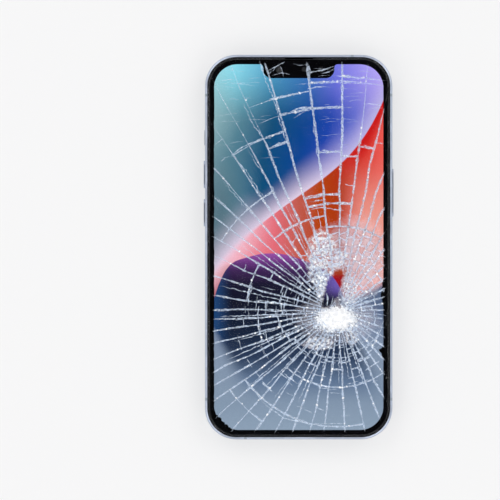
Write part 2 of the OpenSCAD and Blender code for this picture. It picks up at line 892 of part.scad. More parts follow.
// At rest the ring switch is at the screen's side of its slot
module ring_switch() {
    color("#9aa9ba") mirror([1, 0, 0])
        translate([in_x - slip, switch_y, z_mid + switch_travel / 2]) {
            translate([-0.2, 0, 0])
                bar_x(wall + 0.5, switch_len - 2 * run, switch_cap_h, switch_slot_r - run);
            translate([-flange_t, 0, 0])
                bar_x(flange_t, switch_len + 2 * flange_out, switch_flange_h, switch_slot_r);
        }
}

module ring_switch_contact() {
    deep = in_x - slip - flange_t - air;
    color("#c7a23f") mirror([1, 0, 0])
        block([deep - 0.4, switch_y], [0.8, 5, z_mid + 1 - z_floor], z_floor);
}

frame();
antenna_breaks();
rear_glass();
rear_seal();
cover_glass();
cover_seal();
adhesive_film();
display_panel();
display_flex();
battery();
battery_strips();
battery_flex();
logic_board();
board_shield();
board_screws();
sim_reader();
sim_tray();
sim_card();
wide_camera();
ultra_wide_camera();
wide_lens();
ultra_wide_lens();
wide_camera_ring();
ultra_wide_camera_ring();
wide_lens_cover();
ultra_wide_lens_cover();
camera_bracket();
flash_window();
flash_module();
rear_microphone();
front_camera();
infrared_camera();
dot_projector();
sensor_bracket();
earpiece_speaker();
earpiece_mesh();
loudspeaker();
sound_meshes();
bottom_microphone();
vibration_motor();
charging_socket();
socket_flex();
bottom_screws();
charging_coil();
magnet_ring();
power_button();
power_switch_dome();
volume_up_button();
volume_down_button();
volume_switch_domes();
ring_switch();
ring_switch_contact();
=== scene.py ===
"""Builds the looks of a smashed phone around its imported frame.

The housing, the buttons and everything inside come from the frame and are given
their finishes here. The broken cover glass, its cracks, chips and crumbs, the
film under it, the printed border, the picture on the display and the small
parts in the bottom edge are made by this add-on.
"""

import json
import math
import random

import bmesh
import bpy
from bpy.props import FloatProperty, FloatVectorProperty, IntProperty, PointerProperty
from bpy.types import Operator, Panel, PropertyGroup
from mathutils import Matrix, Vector, noise
from mathutils.geometry import tessellate_polygon


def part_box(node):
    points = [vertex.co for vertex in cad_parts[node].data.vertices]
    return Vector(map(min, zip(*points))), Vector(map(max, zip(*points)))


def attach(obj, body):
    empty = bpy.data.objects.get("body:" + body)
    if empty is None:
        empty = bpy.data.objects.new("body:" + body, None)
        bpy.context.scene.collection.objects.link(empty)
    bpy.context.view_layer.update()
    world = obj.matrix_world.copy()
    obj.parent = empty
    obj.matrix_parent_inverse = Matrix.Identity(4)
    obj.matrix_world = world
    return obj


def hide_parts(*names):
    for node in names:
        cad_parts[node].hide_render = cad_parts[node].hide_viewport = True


bl_info = {
    "name": "Smashed Phone",
    "version": (1, 0, 0),
    "blender": (4, 5, 0),
    "location": "View3D > Sidebar > Smashed Phone",
    "description": "Finishes a packed phone and breaks its cover glass",
    "category": "Add Mesh",
}

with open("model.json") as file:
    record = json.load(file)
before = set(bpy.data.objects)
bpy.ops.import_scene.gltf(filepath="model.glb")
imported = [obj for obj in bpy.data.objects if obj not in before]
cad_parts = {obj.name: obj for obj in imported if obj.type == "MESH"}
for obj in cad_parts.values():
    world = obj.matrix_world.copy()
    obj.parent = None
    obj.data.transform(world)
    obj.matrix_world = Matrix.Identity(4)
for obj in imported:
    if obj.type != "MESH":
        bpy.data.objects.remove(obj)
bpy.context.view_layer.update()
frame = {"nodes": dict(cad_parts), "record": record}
NODES = frame["nodes"]
NODE_SLOTS = {part["node"]: part["material_slot"] for part in frame["record"]["subparts"]}

MM = 0.001

GLASS_LOW, GLASS_HIGH = (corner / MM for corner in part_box("cover_glass"))
FILM_LOW, FILM_HIGH = (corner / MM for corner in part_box("adhesive_film"))
PANEL_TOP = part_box("display_panel")[1].z / MM
PLUG_LOW, PLUG_HIGH = (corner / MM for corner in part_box("charging_socket"))
GLASS_CORNER = 10.75
GLASS_TOP = GLASS_HIGH.z
GLASS_BASE = GLASS_LOW.z + 0.005
# How far the black gasket in the metal reaches from the glass
GASKET = 0.32

# The lit part of the display and the notch in its top edge
LIT_X = 32.25
LIT_Y = 69.7
LIT_CORNER = 9.0
NOTCH_X = 13.6
NOTCH_Y = 64.4
NOTCH_CORNER = 3.3
# Dead patches at the right edge of the picture: low end, high end and depth
DEAD_PATCHES = ((-43.2, -37.0, 1.9), (-22.6, -12.6, 1.2))

# Where the glass was struck, and the crushed heap just under that point
IMPACT = Vector((15.0, -24.5))
HEAP = Vector((14.3, -27.5))
HEAP_REACH = Vector((7.2, 4.1))
NET = Vector((17.0, -5.5))
NET_REACH = Vector((17.5, 14.0))
# The clear place where a shard has fallen out, with the whitest breaks around it
GAP = Vector((13.0, -15.8))
GAP_REACH = Vector((8.7, 2.8))
GAP_TURN = math.radians(66)
# Shares of the clear place's reach: inside them the glass isn't broken up, no break
# shows, no chip lies and no crumb lies
GAP_WHOLE = 0.95
GAP_EDGE = 0.97
GAP_MARGIN = 1.1
CRUMB_MARGIN = math.sqrt(1.1)
# The whitest, finest breaks: middle and reach of each clump
CLUMPS = (
    ((7.6, -6.0), (4.2, 8.5)),
    ((8.8, -15.0), (2.2, 6.0)),
    ((9.2, 0.5), (4.8, 6.0)),
    ((13.6, -4.5), (4.0, 4.0)),
    ((19.4, -17.5), (3.0, 6.8)),
    ((7.6, -36.6), (5.6, 2.4)),
    ((20.2, -34.6), (2.4, 2.4)),
)
# The thin haze of glass powder over the net of cracks
HAZE = Vector((21.5, -4.5))
HAZE_REACH = Vector((13.0, 16.5))
# Torn faces fade between these distances from the struck point, down to this share
FADE_NEAR = 22
FADE_FAR = 70
FADE_LEFT = 0.62
# Places where the cracks have closed and hardly show: middle, reach and share left
QUIET = (
    ((-25, 56), (15, 20), 0.25),
    ((27, 60), (7.5, 17), 0.3),
    ((-27, 8), (9, 16), 0.6),
    ((-26, -64), (9, 7), 0.7),
    ((-23, 36), (11, 20), 0.62),
)


# ---------------------------------------------------------------- small tools


def paint(red, green, blue):
    """A screen colour, each part from 0 to 255, as the linear colour Blender wants."""

    def linear(part):
        part /= 255
        return part / 12.92 if part <= 0.04045 else ((part + 0.055) / 1.055) ** 2.4

    return (linear(red), linear(green), linear(blue), 1.0)


def shade(colour, times=1.0, plus=0.0):
    """The four parts of a colour, made lighter or darker."""
    return (*(min(1.0, part * times + plus) for part in colour[:3]), 1.0)


def smooth_step(low, high, value):
    """Rises from 0 at low to 1 at high with soft ends."""
    part = min(max((value - low) / (high - low), 0.0), 1.0)
    return part * part * (3 - 2 * part)


def ellipse_place(point, centre, reach):
    """0 at the ellipse's centre and 1 on its edge."""
    return math.hypot((point[0] - centre[0]) / reach[0], (point[1] - centre[1]) / reach[1])


def gap_place(point):
    """0 in the middle of the clear place, 1 on its edge."""
    x, y = point[0] - GAP.x, point[1] - GAP.y
    along = x * math.cos(GAP_TURN) + y * math.sin(GAP_TURN)
    across = y * math.cos(GAP_TURN) - x * math.sin(GAP_TURN)
    return math.hypot(along / GAP_REACH.x, across / GAP_REACH.y)


def mesh_piece(name, points, faces, materials, slots=None, edges=()):
    """An object whose points are given in millimetres, with its place in its mesh."""
    mesh = bpy.data.meshes.new(name)
    mesh.from_pydata([Vector(p) * MM for p in points], list(edges), faces)
    for material in materials:
        mesh.materials.append(material)
    if slots:
        mesh.polygons.foreach_set("material_index", slots)
    mesh.update()
    obj = bpy.data.objects.new(name, mesh)
    bpy.context.scene.collection.objects.link(obj)
    return obj


def settle(obj, body, slot, *stands_for):
    """Gives a finished piece its body and hides the nodes it stands for. The slot is not used."""
    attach(obj, body)
    if stands_for:
        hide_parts(*stands_for)


def edit_mesh(mesh, work):
    """Does some work on a mesh as a bmesh."""
    bm = bmesh.new()
    bm.from_mesh(mesh)
    work(bm)
    bm.to_mesh(mesh)
    bm.free()


def beyond(x, y, half_x, half_y, radius):
    """How far a place lies outside a rounded rectangle, less than 0 inside it."""
    over_x = abs(x) - (half_x - radius)
    over_y = abs(y) - (half_y - radius)
    return math.hypot(max(over_x, 0), max(over_y, 0)) + min(max(over_x, over_y), 0) - radius


def round_corner(centre, radius, start, sweep, steps):
    """Points along an arc, angles in degrees."""
    turns = (math.radians(start + sweep * i / steps) for i in range(steps + 1))
    return [(centre[0] + radius * math.cos(t), centre[1] + radius * math.sin(t)) for t in turns]


def rounded_outline(half_x, half_y, radius, steps=24):
    """A rounded rectangle's corner points, anticlockwise."""
    x, y = half_x - radius, half_y - radius
    corners = (((x, y), 0), ((-x, y), 90), ((-x, -y), 180), ((x, -y), 270))
    return [p for at, turn in corners for p in round_corner(at, radius, turn, 90, steps)]


def lit_outline():
    """The edge of the lit picture, anticlockwise, with the notch and the dead patches."""
    x, y, r, n = LIT_X, LIT_Y, LIT_CORNER, NOTCH_CORNER
    lip = 1.2
    points = round_corner((x - r, y - r), r, 0, 90, 16)
    points += round_corner((NOTCH_X + lip, y - lip), lip, 90, 90, 6)
    points += round_corner((NOTCH_X - n, NOTCH_Y + n), n, 0, -90, 10)
    points += round_corner((-NOTCH_X + n, NOTCH_Y + n), n, -90, -90, 10)
    points += round_corner((-NOTCH_X - lip, y - lip), lip, 0, 90, 6)
    points += round_corner((-x + r, y - r), r, 90, 90, 16)
    rng = random.Random(5)
    for step in range(60):
        points.append((-x + rng.uniform(-0.08, 0.1), y - r - 1 - step * 2.05))
    steps = 30
    for i, (px, py) in enumerate(round_corner((-x + r, -y + r), r, 180, 90, steps)):
        inward = 1.1 * math.sin(math.pi * i / steps) ** 2 * rng.uniform(0.35, 1.0)
        points.append((px + inward * 0.8, py + inward))
    points += round_corner((x - r, -y + r), r, 270, 90, 16)
    steps = 9
    for low, high, depth in DEAD_PATCHES:
        for i in range(steps + 1):
            bite = depth * math.sin(math.pi * i / steps) ** 0.7 * rng.uniform(0.3, 1.0)
            points.append((x - bite, low + (high - low) * i / steps))
    return points


def flat_ring(name, loops, low, high, material):
    """A thin closed plate between flat outlines: the first is its edge, the rest its holes."""
    loops = [[Vector((x, y, 0)) for x, y in loop] for loop in loops]
    flat = [point for loop in loops for point in loop]
    count = len(flat)
    points = [(p.x, p.y, level) for level in (high, low) for p in flat]
    faces = []
    for a, b, c in tessellate_polygon(loops):
        if (flat[b] - flat[a]).cross(flat[c] - flat[a]).z < 0:
            b, c = c, b
        faces += [(a, b, c), (c + count, b + count, a + count)]
    start = 0
    for loop in loops:
        size = len(loop)
        for i in range(size):
            a, b = start + i, start + (i + 1) % size
            faces.append((a, a + count, b + count, b))
        start += size
    obj = mesh_piece(name, points, faces, [material])
    edit_mesh(obj.data, lambda bm: bmesh.ops.recalc_face_normals(bm, faces=bm.faces))
    return obj


# ------------------------------------------------------------- node writing


def add(tree, kind, inputs=None, **settings):
    """One node, with its settings, and each input given a value or a link."""
    made = tree.nodes.new(kind)
    for key, value in settings.items():
        setattr(made, key, value)
    for key, value in (inputs or {}).items():
        if isinstance(value, bpy.types.NodeSocket):
            tree.links.new(value, made.inputs[key])
        else:
            made.inputs[key].default_value = value
    return made


def calc(tree, operation, *values):
    """The result of one Math node."""
    return add(tree, "ShaderNodeMath", dict(enumerate(values)), operation=operation).outputs[0]


def vector_calc(tree, operation, *values):
    """The result of one Vector Math node: a number for lengths and products, else a vector."""
    node = add(tree, "ShaderNodeVectorMath", dict(enumerate(values)), operation=operation)
    number = operation in ("LENGTH", "DISTANCE", "DOT_PRODUCT")
    return node.outputs["Value" if number else "Vector"]


def split(tree, vector):
    """The three numbers of a vector."""
    return add(tree, "ShaderNodeSeparateXYZ", {0: vector}).outputs


def join(tree, x, y, z):
    """A vector made of three numbers."""
    return add(tree, "ShaderNodeCombineXYZ", {0: x, 1: y, 2: z}).outputs[0]


def hypotenuse(tree, across, along):
    """How long a way is, from its two sides."""
    square = calc(tree, "MULTIPLY_ADD", across, across, calc(tree, "MULTIPLY", along, along))
    return calc(tree, "SQRT", square)


def blend_colours(tree, share, first, second):
    """One colour laid over another by a share from 0 to 1."""
    inputs = {0: share, 6: first, 7: second}
    return add(tree, "ShaderNodeMix", inputs, data_type="RGBA").outputs[2]


def fit_range(tree, value, low, high, start=0.0, end=1.0, way="LINEAR"):
    """Takes a value from low..high to start..end."""
    inputs = {"Value": value, "From Min": low, "From Max": high, "To Min": start, "To Max": end}
    return add(tree, "ShaderNodeMapRange", inputs, interpolation_type=way).outputs["Result"]


def soft_range(tree, value, low, high, start=0.0, end=1.0):
    """Takes a value from low..high to start..end with soft ends."""
    return fit_range(tree, value, low, high, start, end, "SMOOTHSTEP")


def colour_ramp(tree, value, stops):
    """A colour chosen along a ramp of (place, colour) stops."""
    node = add(tree, "ShaderNodeValToRGB", {"Fac": value})
    ramp = node.color_ramp
    while len(ramp.elements) < len(stops):
        ramp.elements.new(0.5)
    for element, (place, colour) in zip(ramp.elements, stops):
        element.position = place
        element.color = colour
    return node.outputs["Color"]


def position_ramp(tree, value, low, high, stops):
    """A ramp of screen colours, each given after its place between low and high."""
    stops = [((at - low) / (high - low), paint(*colour)) for at, *colour in stops]
    return colour_ramp(tree, fit_range(tree, value, low, high), stops)


def millimetres(tree):
    """The place on the object in millimetres."""
    place = add(tree, "ShaderNodeTexCoord").outputs["Object"]
    node = add(tree, "ShaderNodeVectorMath", {0: place, "Scale": 1000.0}, operation="SCALE")
    return node.outputs["Vector"]


def cloud(tree, place, size, detail=3.0, roughness=0.55, offset=(0, 0, 0)):
    """Soft noise whose lumps are about size millimetres across."""
    moved = add(tree, "ShaderNodeMapping", {"Vector": place, "Location": offset}).outputs[0]
    inputs = {"Vector": moved, "Scale": 1 / size, "Detail": detail, "Roughness": roughness}
    return add(tree, "ShaderNodeTexNoise", inputs).outputs[0]


def speckle(tree, place, scale, detail=2.0):
    """Noise with about scale lumps to the unit."""
    inputs = {"Vector": place, "Scale": scale, "Detail": detail}
    return add(tree, "ShaderNodeTexNoise", inputs).outputs[0]


def raised(tree, height, strength, distance):
    """The normal of a surface raised by a height, up to a distance in millimetres."""
    inputs = {"Height": height, "Strength": strength, "Distance": distance * MM}
    return add(tree, "ShaderNodeBump", inputs).outputs[0]


def node_group(name):
    """A node group, made the first time it is asked for."""
    return bpy.data.node_groups.get(name) or GROUP_MAKERS[name](name)


def effect_group(name, numbers, results):
    """An empty shader group that takes a place and named numbers: its tree and both its ends."""
    tree = bpy.data.node_groups.new(name, "ShaderNodeTree")
    face = tree.interface
    face.new_socket("Place", in_out="INPUT", socket_type="NodeSocketVector")
    for label, value in numbers.items():
        socket = face.new_socket(label, in_out="INPUT", socket_type="NodeSocketFloat")
        socket.default_value = value
    for label in results:
        face.new_socket(label, in_out="OUTPUT", socket_type="NodeSocketFloat")
    given = tree.nodes.new("NodeGroupInput").outputs
    return tree, given, tree.nodes.new("NodeGroupOutput").inputs


def grain_group(name):
    """Fine blasted or moulded grain with a slow change of tone under it."""
    tree, given, result = effect_group(name, {"Size": 0.08}, ("Height", "Tone"))
    speck = speckle(tree, given["Place"], calc(tree, "DIVIDE", 1.0, given["Size"]), 3.0)
    slow = speckle(tree, given["Place"], 0.06)
    tone = calc(tree, "MULTIPLY_ADD", speck, 0.6, calc(tree, "MULTIPLY", slow, 0.4))
    tree.links.new(speck, result["Height"])
    tree.links.new(soft_range(tree, tone, 0.3, 0.7), result["Tone"])
    return tree


def scratch_group(name):
    """Fine scratches lying three ways, with only some places scratched."""
    tree, given, result = effect_group(name, {"Amount": 0.5}, ("Mask",))
    place = given["Place"]
    total = 0.0
    for turn, length in ((0.4, 0.05), (1.3, 0.07), (2.5, 0.04)):
        rotation = (turn * 0.3, turn * 0.2, turn)
        inputs = {"Vector": place, "Rotation": rotation, "Scale": (2.6, length, 1)}
        turned = add(tree, "ShaderNodeMapping", inputs).outputs[0]
        thin = soft_range(tree, speckle(tree, turned, 1.0), 0.66, 0.72)
        total = calc(tree, "MAXIMUM", total, thin)
    patches = soft_range(tree, cloud(tree, place, 9.0), 0.45, 0.6)
    mask = calc(tree, "MULTIPLY", calc(tree, "MULTIPLY", total, patches), given["Amount"])
    tree.links.new(mask, result["Mask"])
    return tree


def smudge_group(name):
    """Greasy finger marks: soft patches broken by fine ridges."""
    tree, given, result = effect_group(name, {"Amount": 0.5}, ("Mask",))
    place = given["Place"]
    patches = soft_range(tree, cloud(tree, place, 14.0, 2.0, offset=(3, 8, 1)), 0.48, 0.66)
    inputs = {
        "Vector": place, "Scale": 0.55, "Distortion": 9.0, "Detail": 1.0, "Detail Scale": 0.35,
    }
    ridge = add(tree, "ShaderNodeTexWave", inputs, wave_type="RINGS").outputs["Fac"]
    mask = calc(tree, "MULTIPLY", patches, calc(tree, "MULTIPLY_ADD", ridge, 0.35, 0.65))
    tree.links.new(calc(tree, "MULTIPLY", mask, given["Amount"]), result["Mask"])
    return tree


def dust_group(name):
    """Specks of dust and glass powder, gathered in places."""
    tree, given, result = effect_group(name, {"Spacing": 0.9, "Amount": 0.5}, ("Mask",))
    place = given["Place"]
    inputs = {"Vector": place, "Scale": calc(tree, "DIVIDE", 1.0, given["Spacing"])}
    cells = add(tree, "ShaderNodeTexVoronoi", inputs).outputs["Distance"]
    specks = soft_range(tree, cells, 0.16, 0.1)
    gathered = soft_range(tree, cloud(tree, place, 6.0, offset=(7, 2, 4)), 0.45, 0.62)
    mask = calc(tree, "MULTIPLY", calc(tree, "MULTIPLY", specks, gathered), given["Amount"])
    tree.links.new(mask, result["Mask"])
    return tree


def apply_effect(tree, name, place, **numbers):
    """One of the effect groups placed in a material with its own values."""
    inputs = {"Place": place, **numbers}
    return add(tree, "ShaderNodeGroup", inputs, node_tree=node_group(name)).outputs


def new_material(name):
    """An empty material: itself, its node tree and the input that takes its surface."""
    material = bpy.data.materials.new(name)
    material.use_nodes = True
    tree = material.node_tree
    tree.nodes.clear()
    return material, tree, tree.nodes.new("ShaderNodeOutputMaterial").inputs["Surface"]


def close_surface(tree, surface, inputs):
    """Closes a surface with one Principled shader."""
    tree.links.new(add(tree, "ShaderNodeBsdfPrincipled", inputs).outputs[0], surface)


def surface_finish(
    name,
    colour,
    second,
    roughness,
    metallic=0.0,
    grain=0.1,
    depth=0.003,
    scratches=0.2,
    marks=0.0,
    dust=0.15,
    lacquer=0.0,
    specular=0.5,
    pattern=None,
    lining=None,
):
    """A solid finish with grain, scratches, finger marks and dust.

    pattern, where one is given, writes its own mask and height from the place, and
    the second colour is laid on by that mask. lining, where one is given, writes the
    mask of the black gasket that lies on the metal.
    """
    material, tree, surface = new_material(name)
    place = millimetres(tree)
    grained = apply_effect(tree, "Grain", place, Size=grain)
    scratched = apply_effect(tree, "Scratches", place, Amount=scratches)["Mask"]
    marked = apply_effect(tree, "Finger Marks", place, Amount=marks)["Mask"]
    dusted = apply_effect(tree, "Dust", place, Spacing=0.8, Amount=dust)["Mask"]
    share, height = grained["Tone"], grained["Height"]
    if pattern:
        share, height = pattern(tree, place, grained)
    scored = calc(tree, "MULTIPLY", scratched, 0.5)
    base = blend_colours(tree, share, colour, second)
    base = blend_colours(tree, scored, base, shade(colour, 1.25, 0.03))
    base = blend_colours(tree, dusted, base, paint(206, 204, 200))
    rough = calc(tree, "MULTIPLY_ADD", grained["Tone"], 0.12, roughness - 0.06)
    rough = calc(tree, "MULTIPLY_ADD", marked, 0.22, rough)
    rough = calc(tree, "MULTIPLY_ADD", dusted, 0.3, rough)
    if lining:
        lined = lining(tree, place)
        base = blend_colours(tree, lined, base, paint(8, 8, 10))
        rough = calc(tree, "MAXIMUM", rough, calc(tree, "MULTIPLY", lined, 0.6))
        bare = calc(tree, "SUBTRACT", 1.0, lined)
        metallic = calc(tree, "MULTIPLY", bare, metallic)
        specular = calc(tree, "MULTIPLY", bare, specular)
    inputs = {
        "Base Color": base,
        "Roughness": rough,
        "Metallic": metallic,
        "Coat Weight": lacquer,
        "Specular IOR Level": specular,
        "Normal": raised(tree, calc(tree, "SUBTRACT", height, scored), 0.6, depth),
    }
    close_surface(tree, surface, inputs)
    return material


# -------------------------------------------------------- geometry node tools


def grower(name, **labels):
    """An empty Geometry Nodes tree with inputs listed by their kind: itself and both its ends."""
    tree = bpy.data.node_groups.new(name, "GeometryNodeTree")
    face = tree.interface
    face.new_socket("Geometry", in_out="INPUT", socket_type="NodeSocketGeometry")
    face.new_socket("Geometry", in_out="OUTPUT", socket_type="NodeSocketGeometry")
    for kind, names in {**labels, "Material": ("Material",)}.items():
        for label in names:
            face.new_socket(label, in_out="INPUT", socket_type=f"NodeSocket{kind}")
    given = tree.nodes.new("NodeGroupInput").outputs
    return tree, given, tree.nodes.new("NodeGroupOutput").inputs


def grow(obj, name, **values):
    """Runs a tree on an object with the given inputs and keeps the result as its mesh."""
    tree = node_group(name)
    modifier = obj.modifiers.new(tree.name, "NODES")
    modifier.node_group = tree
    for item in tree.interface.items_tree:
        key = item.name.replace(" ", "_").lower()
        if item.in_out == "INPUT" and key in values:
            modifier[item.identifier] = values[key]
    graph = bpy.context.evaluated_depsgraph_get()
    mesh = bpy.data.meshes.new_from_object(obj.evaluated_get(graph))
    obj.modifiers.clear()
    start = obj.data
    obj.data = mesh
    bpy.data.meshes.remove(start)
    mesh.name = obj.name
    if not mesh.polygons:
        raise RuntimeError(f"{tree.name} made nothing on {obj.name}")
    return obj


def finish_growth(tree, given, result, instances):
    """Makes instances real and gives them the tree's material."""
    real = add(tree, "GeometryNodeRealizeInstances", {0: instances}).outputs[0]
    inputs = {"Geometry": real, "Material": given["Material"]}
    tree.links.new(add(tree, "GeometryNodeSetMaterial", inputs).outputs[0], result[0])


def random_value(tree, low, high, seed, offset=0):
    """A random number for each point, from a seed that is moved on by an offset."""
    inputs = {2: low, 3: high, "Seed": calc(tree, "ADD", seed, offset)}
    return add(tree, "FunctionNodeRandomValue", inputs, data_type="FLOAT").outputs[1]


def grain_spans(tree, given, bend, longest):
    """A grain's length and width: the higher the bend, the fewer large ones."""
    seed, smallest = given["Seed"], given["Smallest"]
    size = calc(tree, "POWER", random_value(tree, 0.0, 1.0, seed, 2), bend)
    span = calc(tree, "SUBTRACT", given["Largest"], smallest)
    width = calc(tree, "MULTIPLY_ADD", size, span, smallest)
    return calc(tree, "MULTIPLY", width, random_value(tree, 0.6, longest, seed, 3)), width


def lay_grains(tree, given, result, points, turn, scale, **selection):
    """Stands a low lump with a few flat faces on each point."""
    lump = {"Radius": 0.5 * MM, "Subdivisions": 1}
    shape = add(tree, "GeometryNodeMeshIcoSphere", lump).outputs["Mesh"]
    inputs = {"Points": points, "Instance": shape, "Rotation": turn, "Scale": scale, **selection}
    placed = add(tree, "GeometryNodeInstanceOnPoints", inputs).outputs[0]
    finish_growth(tree, given, result, placed)


def chips_tree(name):
    """Chips standing along crack lines."""
    numbers = ("Spacing", "Kept", "Smallest", "Largest")
    tree, given, result = grower(name, Float=numbers, Int=("Seed",))
    seed = given["Seed"]
    curve = add(tree, "GeometryNodeMeshToCurve", {"Mesh": given["Geometry"]}).outputs[0]
    inputs = {"Curve": curve, "Length": given["Spacing"]}
    line = add(tree, "GeometryNodeResampleCurve", inputs, mode="LENGTH").outputs[0]
    points = add(tree, "GeometryNodeCurveToPoints", {"Curve": line}, mode="EVALUATED").outputs[0]
    reach = (0.16 * MM, 0.16 * MM, 0.02 * MM)
    inputs = {0: tuple(-part for part in reach), 1: reach, "Seed": seed}
    drift = add(tree, "FunctionNodeRandomValue", inputs, data_type="FLOAT_VECTOR").outputs[0]
    moved = add(tree, "GeometryNodeSetPosition", {"Geometry": points, "Offset": drift}).outputs[0]
    draw = random_value(tree, 0.0, 1.0, seed, 1)
    keep = calc(tree, "LESS_THAN", draw, given["Kept"])
    length, width = grain_spans(tree, given, 2.5, 1.9)
    turn = join(tree, 0.0, 0.0, random_value(tree, -math.pi, math.pi, seed, 4))
    scale = join(tree, length, width, 0.11)
    lay_grains(tree, given, result, moved, turn, scale, Selection=keep)
    return tree


def crumbs_tree(name):
    """Crushed grains scattered over a flat patch, thickest at its middle."""
    numbers = ("Solid Part", "Density", "Smallest", "Largest", "Rise")
    places = ("Centre", "Reach", "Clear Centre", "Clear Long Way", "Clear Short Way")
    tree, given, result = grower(name, Float=numbers, Vector=places, Int=("Seed",))
    seed = given["Seed"]
    place = add(tree, "GeometryNodeInputPosition").outputs[0]
    away = vector_calc(tree, "SUBTRACT", place, given["Centre"])
    far = vector_calc(tree, "LENGTH", vector_calc(tree, "DIVIDE", away, given["Reach"]))
    lumps = calc(tree, "MULTIPLY_ADD", speckle(tree, place, 420.0), 0.9, -0.45)
    ragged = calc(tree, "ADD", far, lumps)
    fall = fit_range(tree, ragged, given["Solid Part"], 1.0, 1.0, 0.0)
    beside = vector_calc(tree, "SUBTRACT", place, given["Clear Centre"])
    ways = ("Clear Long Way", "Clear Short Way")
    sides = [vector_calc(tree, "DOT_PRODUCT", beside, given[way]) for way in ways]
    outside = calc(tree, "GREATER_THAN", hypotenuse(tree, *sides), CRUMB_MARGIN)
    crowd = calc(tree, "MULTIPLY", calc(tree, "POWER", fall, 1.6), given["Density"])
    crowd = calc(tree, "MULTIPLY", crowd, outside)
    scattered = add(
        tree,
        "GeometryNodeDistributePointsOnFaces",
        {"Mesh": given["Geometry"], "Density": crowd, "Seed": seed},
        distribute_method="RANDOM",
    ).outputs["Points"]
    near = fit_range(tree, far, 0.0, 1.0, given["Rise"], 0.0)
    lift = calc(tree, "MULTIPLY", near, random_value(tree, 0.35, 1.0, seed, 5))
    inputs = {"Geometry": scattered, "Offset": join(tree, 0.0, 0.0, lift)}
    heaped = add(tree, "GeometryNodeSetPosition", inputs).outputs[0]
    length, width = grain_spans(tree, given, 2.0, 1.4)
    flat = calc(tree, "MINIMUM", calc(tree, "MULTIPLY", width, 0.6), 0.3)
    leans = ((0.2, 6), (0.2, 7), (math.pi, 4))
    turn = join(tree, *(random_value(tree, -most, most, seed, offset) for most, offset in leans))
    lay_grains(tree, given, result, heaped, turn, join(tree, length, width, flat))
    return tree


def blades_tree(name):
    """Flat blades swept along crack lines, as wide as each line says."""
    tree, given, result = grower(name, Float=("Thickness",))
    label = {"Name": "half_width"}
    width = add(tree, "GeometryNodeInputNamedAttribute", label, data_type="FLOAT").outputs[0]
    curve = add(tree, "GeometryNodeMeshToCurve", {"Mesh": given["Geometry"]}).outputs[0]
    level = add(tree, "GeometryNodeSetCurveNormal", {"Curve": curve}, mode="Z_UP").outputs[0]
    inputs = {"Width": 2.0, "Height": given["Thickness"]}
    profile = add(tree, "GeometryNodeCurvePrimitiveQuadrilateral", inputs).outputs[0]
    sized = add(tree, "GeometryNodeSetCurveRadius", {"Curve": level, "Radius": width}).outputs[0]
    inputs = {"Curve": sized, "Profile Curve": profile, "Scale": width, "Fill Caps": True}
    finish_growth(tree, given, result, add(tree, "GeometryNodeCurveToMesh", inputs).outputs[0])
    return tree


def row_tree(name):
    """Like pads standing in a row."""
    tree, given, result = grower(name, Int=("Count",), Vector=("Pitch", "Start", "Pad Size"))
    inputs = {"Count": given["Count"], "Start Location": given["Start"], "Offset": given["Pitch"]}
    line = add(tree, "GeometryNodeMeshLine", inputs, mode="OFFSET").outputs[0]
    inputs = {"Size": given["Pad Size"], "Vertices X": 3, "Vertices Y": 3, "Vertices Z": 2}
    pad = add(tree, "GeometryNodeMeshCube", inputs).outputs["Mesh"]
    inputs = {"Points": line, "Instance": pad}
    placed = add(tree, "GeometryNodeInstanceOnPoints", inputs).outputs[0]
    finish_growth(tree, given, result, placed)
    return tree


GROUP_MAKERS = {
    "Grain": grain_group,
    "Scratches": scratch_group,
    "Finger Marks": smudge_group,
    "Dust": dust_group,
    "Chips Along Cracks": chips_tree,
    "Crushed Glass": crumbs_tree,
    "Hairline Blades": blades_tree,
    "Row Of Pads": row_tree,
}


# ------------------------------------------------------------------ materials


def clear_glass(colour):
    """Clear broken glass that lets the lamps through to what lies under it."""
    material, tree, surface = new_material("clear_glass")
    place = millimetres(tree)
    marked = apply_effect(tree, "Finger Marks", place, Amount=0.5)["Mask"]
    dusted = apply_effect(tree, "Dust", place, Spacing=1.1, Amount=0.5)["Mask"]
    rough = calc(tree, "MULTIPLY_ADD", marked, 0.05, 0.015)
    inputs = {
        "Base Color": colour,
        "Roughness": calc(tree, "MULTIPLY_ADD", dusted, 0.2, rough),
        "IOR": 1.5,
        "Transmission Weight": 1.0,
        "Normal": raised(tree, cloud(tree, place, 2.5, 2.0), 0.25, 0.01),
    }
    glass = add(tree, "ShaderNodeBsdfPrincipled", inputs).outputs[0]
    open_way = add(tree, "ShaderNodeBsdfTransparent").outputs[0]
    shadow = add(tree, "ShaderNodeLightPath").outputs["Is Shadow Ray"]
    mixed = add(tree, "ShaderNodeMixShader", {0: shadow, 1: glass, 2: open_way}).outputs[0]
    tree.links.new(mixed, surface)
    return material


def fracture_faces(name, colour, solid_low, solid_high, glow, lump, dullest):
    """White, finely torn glass faces: denser in some places than in others, with a painted glow of
    the glow strength in their own colour that stands in for the display's light scattered in them.
    """
    material, tree, surface = new_material(name)
    place = millimetres(tree)
    beads = cloud(tree, place, lump, 2.0, 0.5)
    tone = soft_range(tree, beads, 0.3, 0.56)
    tone = blend_colours(tree, tone, shade(colour, dullest), shade(colour))
    thick = soft_range(tree, beads, 0.36, 0.6, solid_low, solid_high)
    flat = vector_calc(tree, "MULTIPLY", place, (1, 1, 0))
    away = vector_calc(tree, "DISTANCE", flat, (*IMPACT, 0))
    fade = soft_range(tree, away, FADE_NEAR, FADE_FAR, 1.0, FADE_LEFT)
    torn = cloud(tree, place, 0.12)
    inputs = {
        "Base Color": tone,
        "Roughness": soft_range(tree, torn, 0.3, 0.7, 0.35, 0.6),
        "IOR": 1.5,
        "Alpha": calc(tree, "MULTIPLY", thick, fade),
        # Painted glow: the faces shine in their own colour by the glow strength
        "Emission Color": tone,
        "Emission Strength": glow,
        "Normal": raised(tree, torn, 0.5, 0.03),
    }
    close_surface(tree, surface, inputs)
    return material


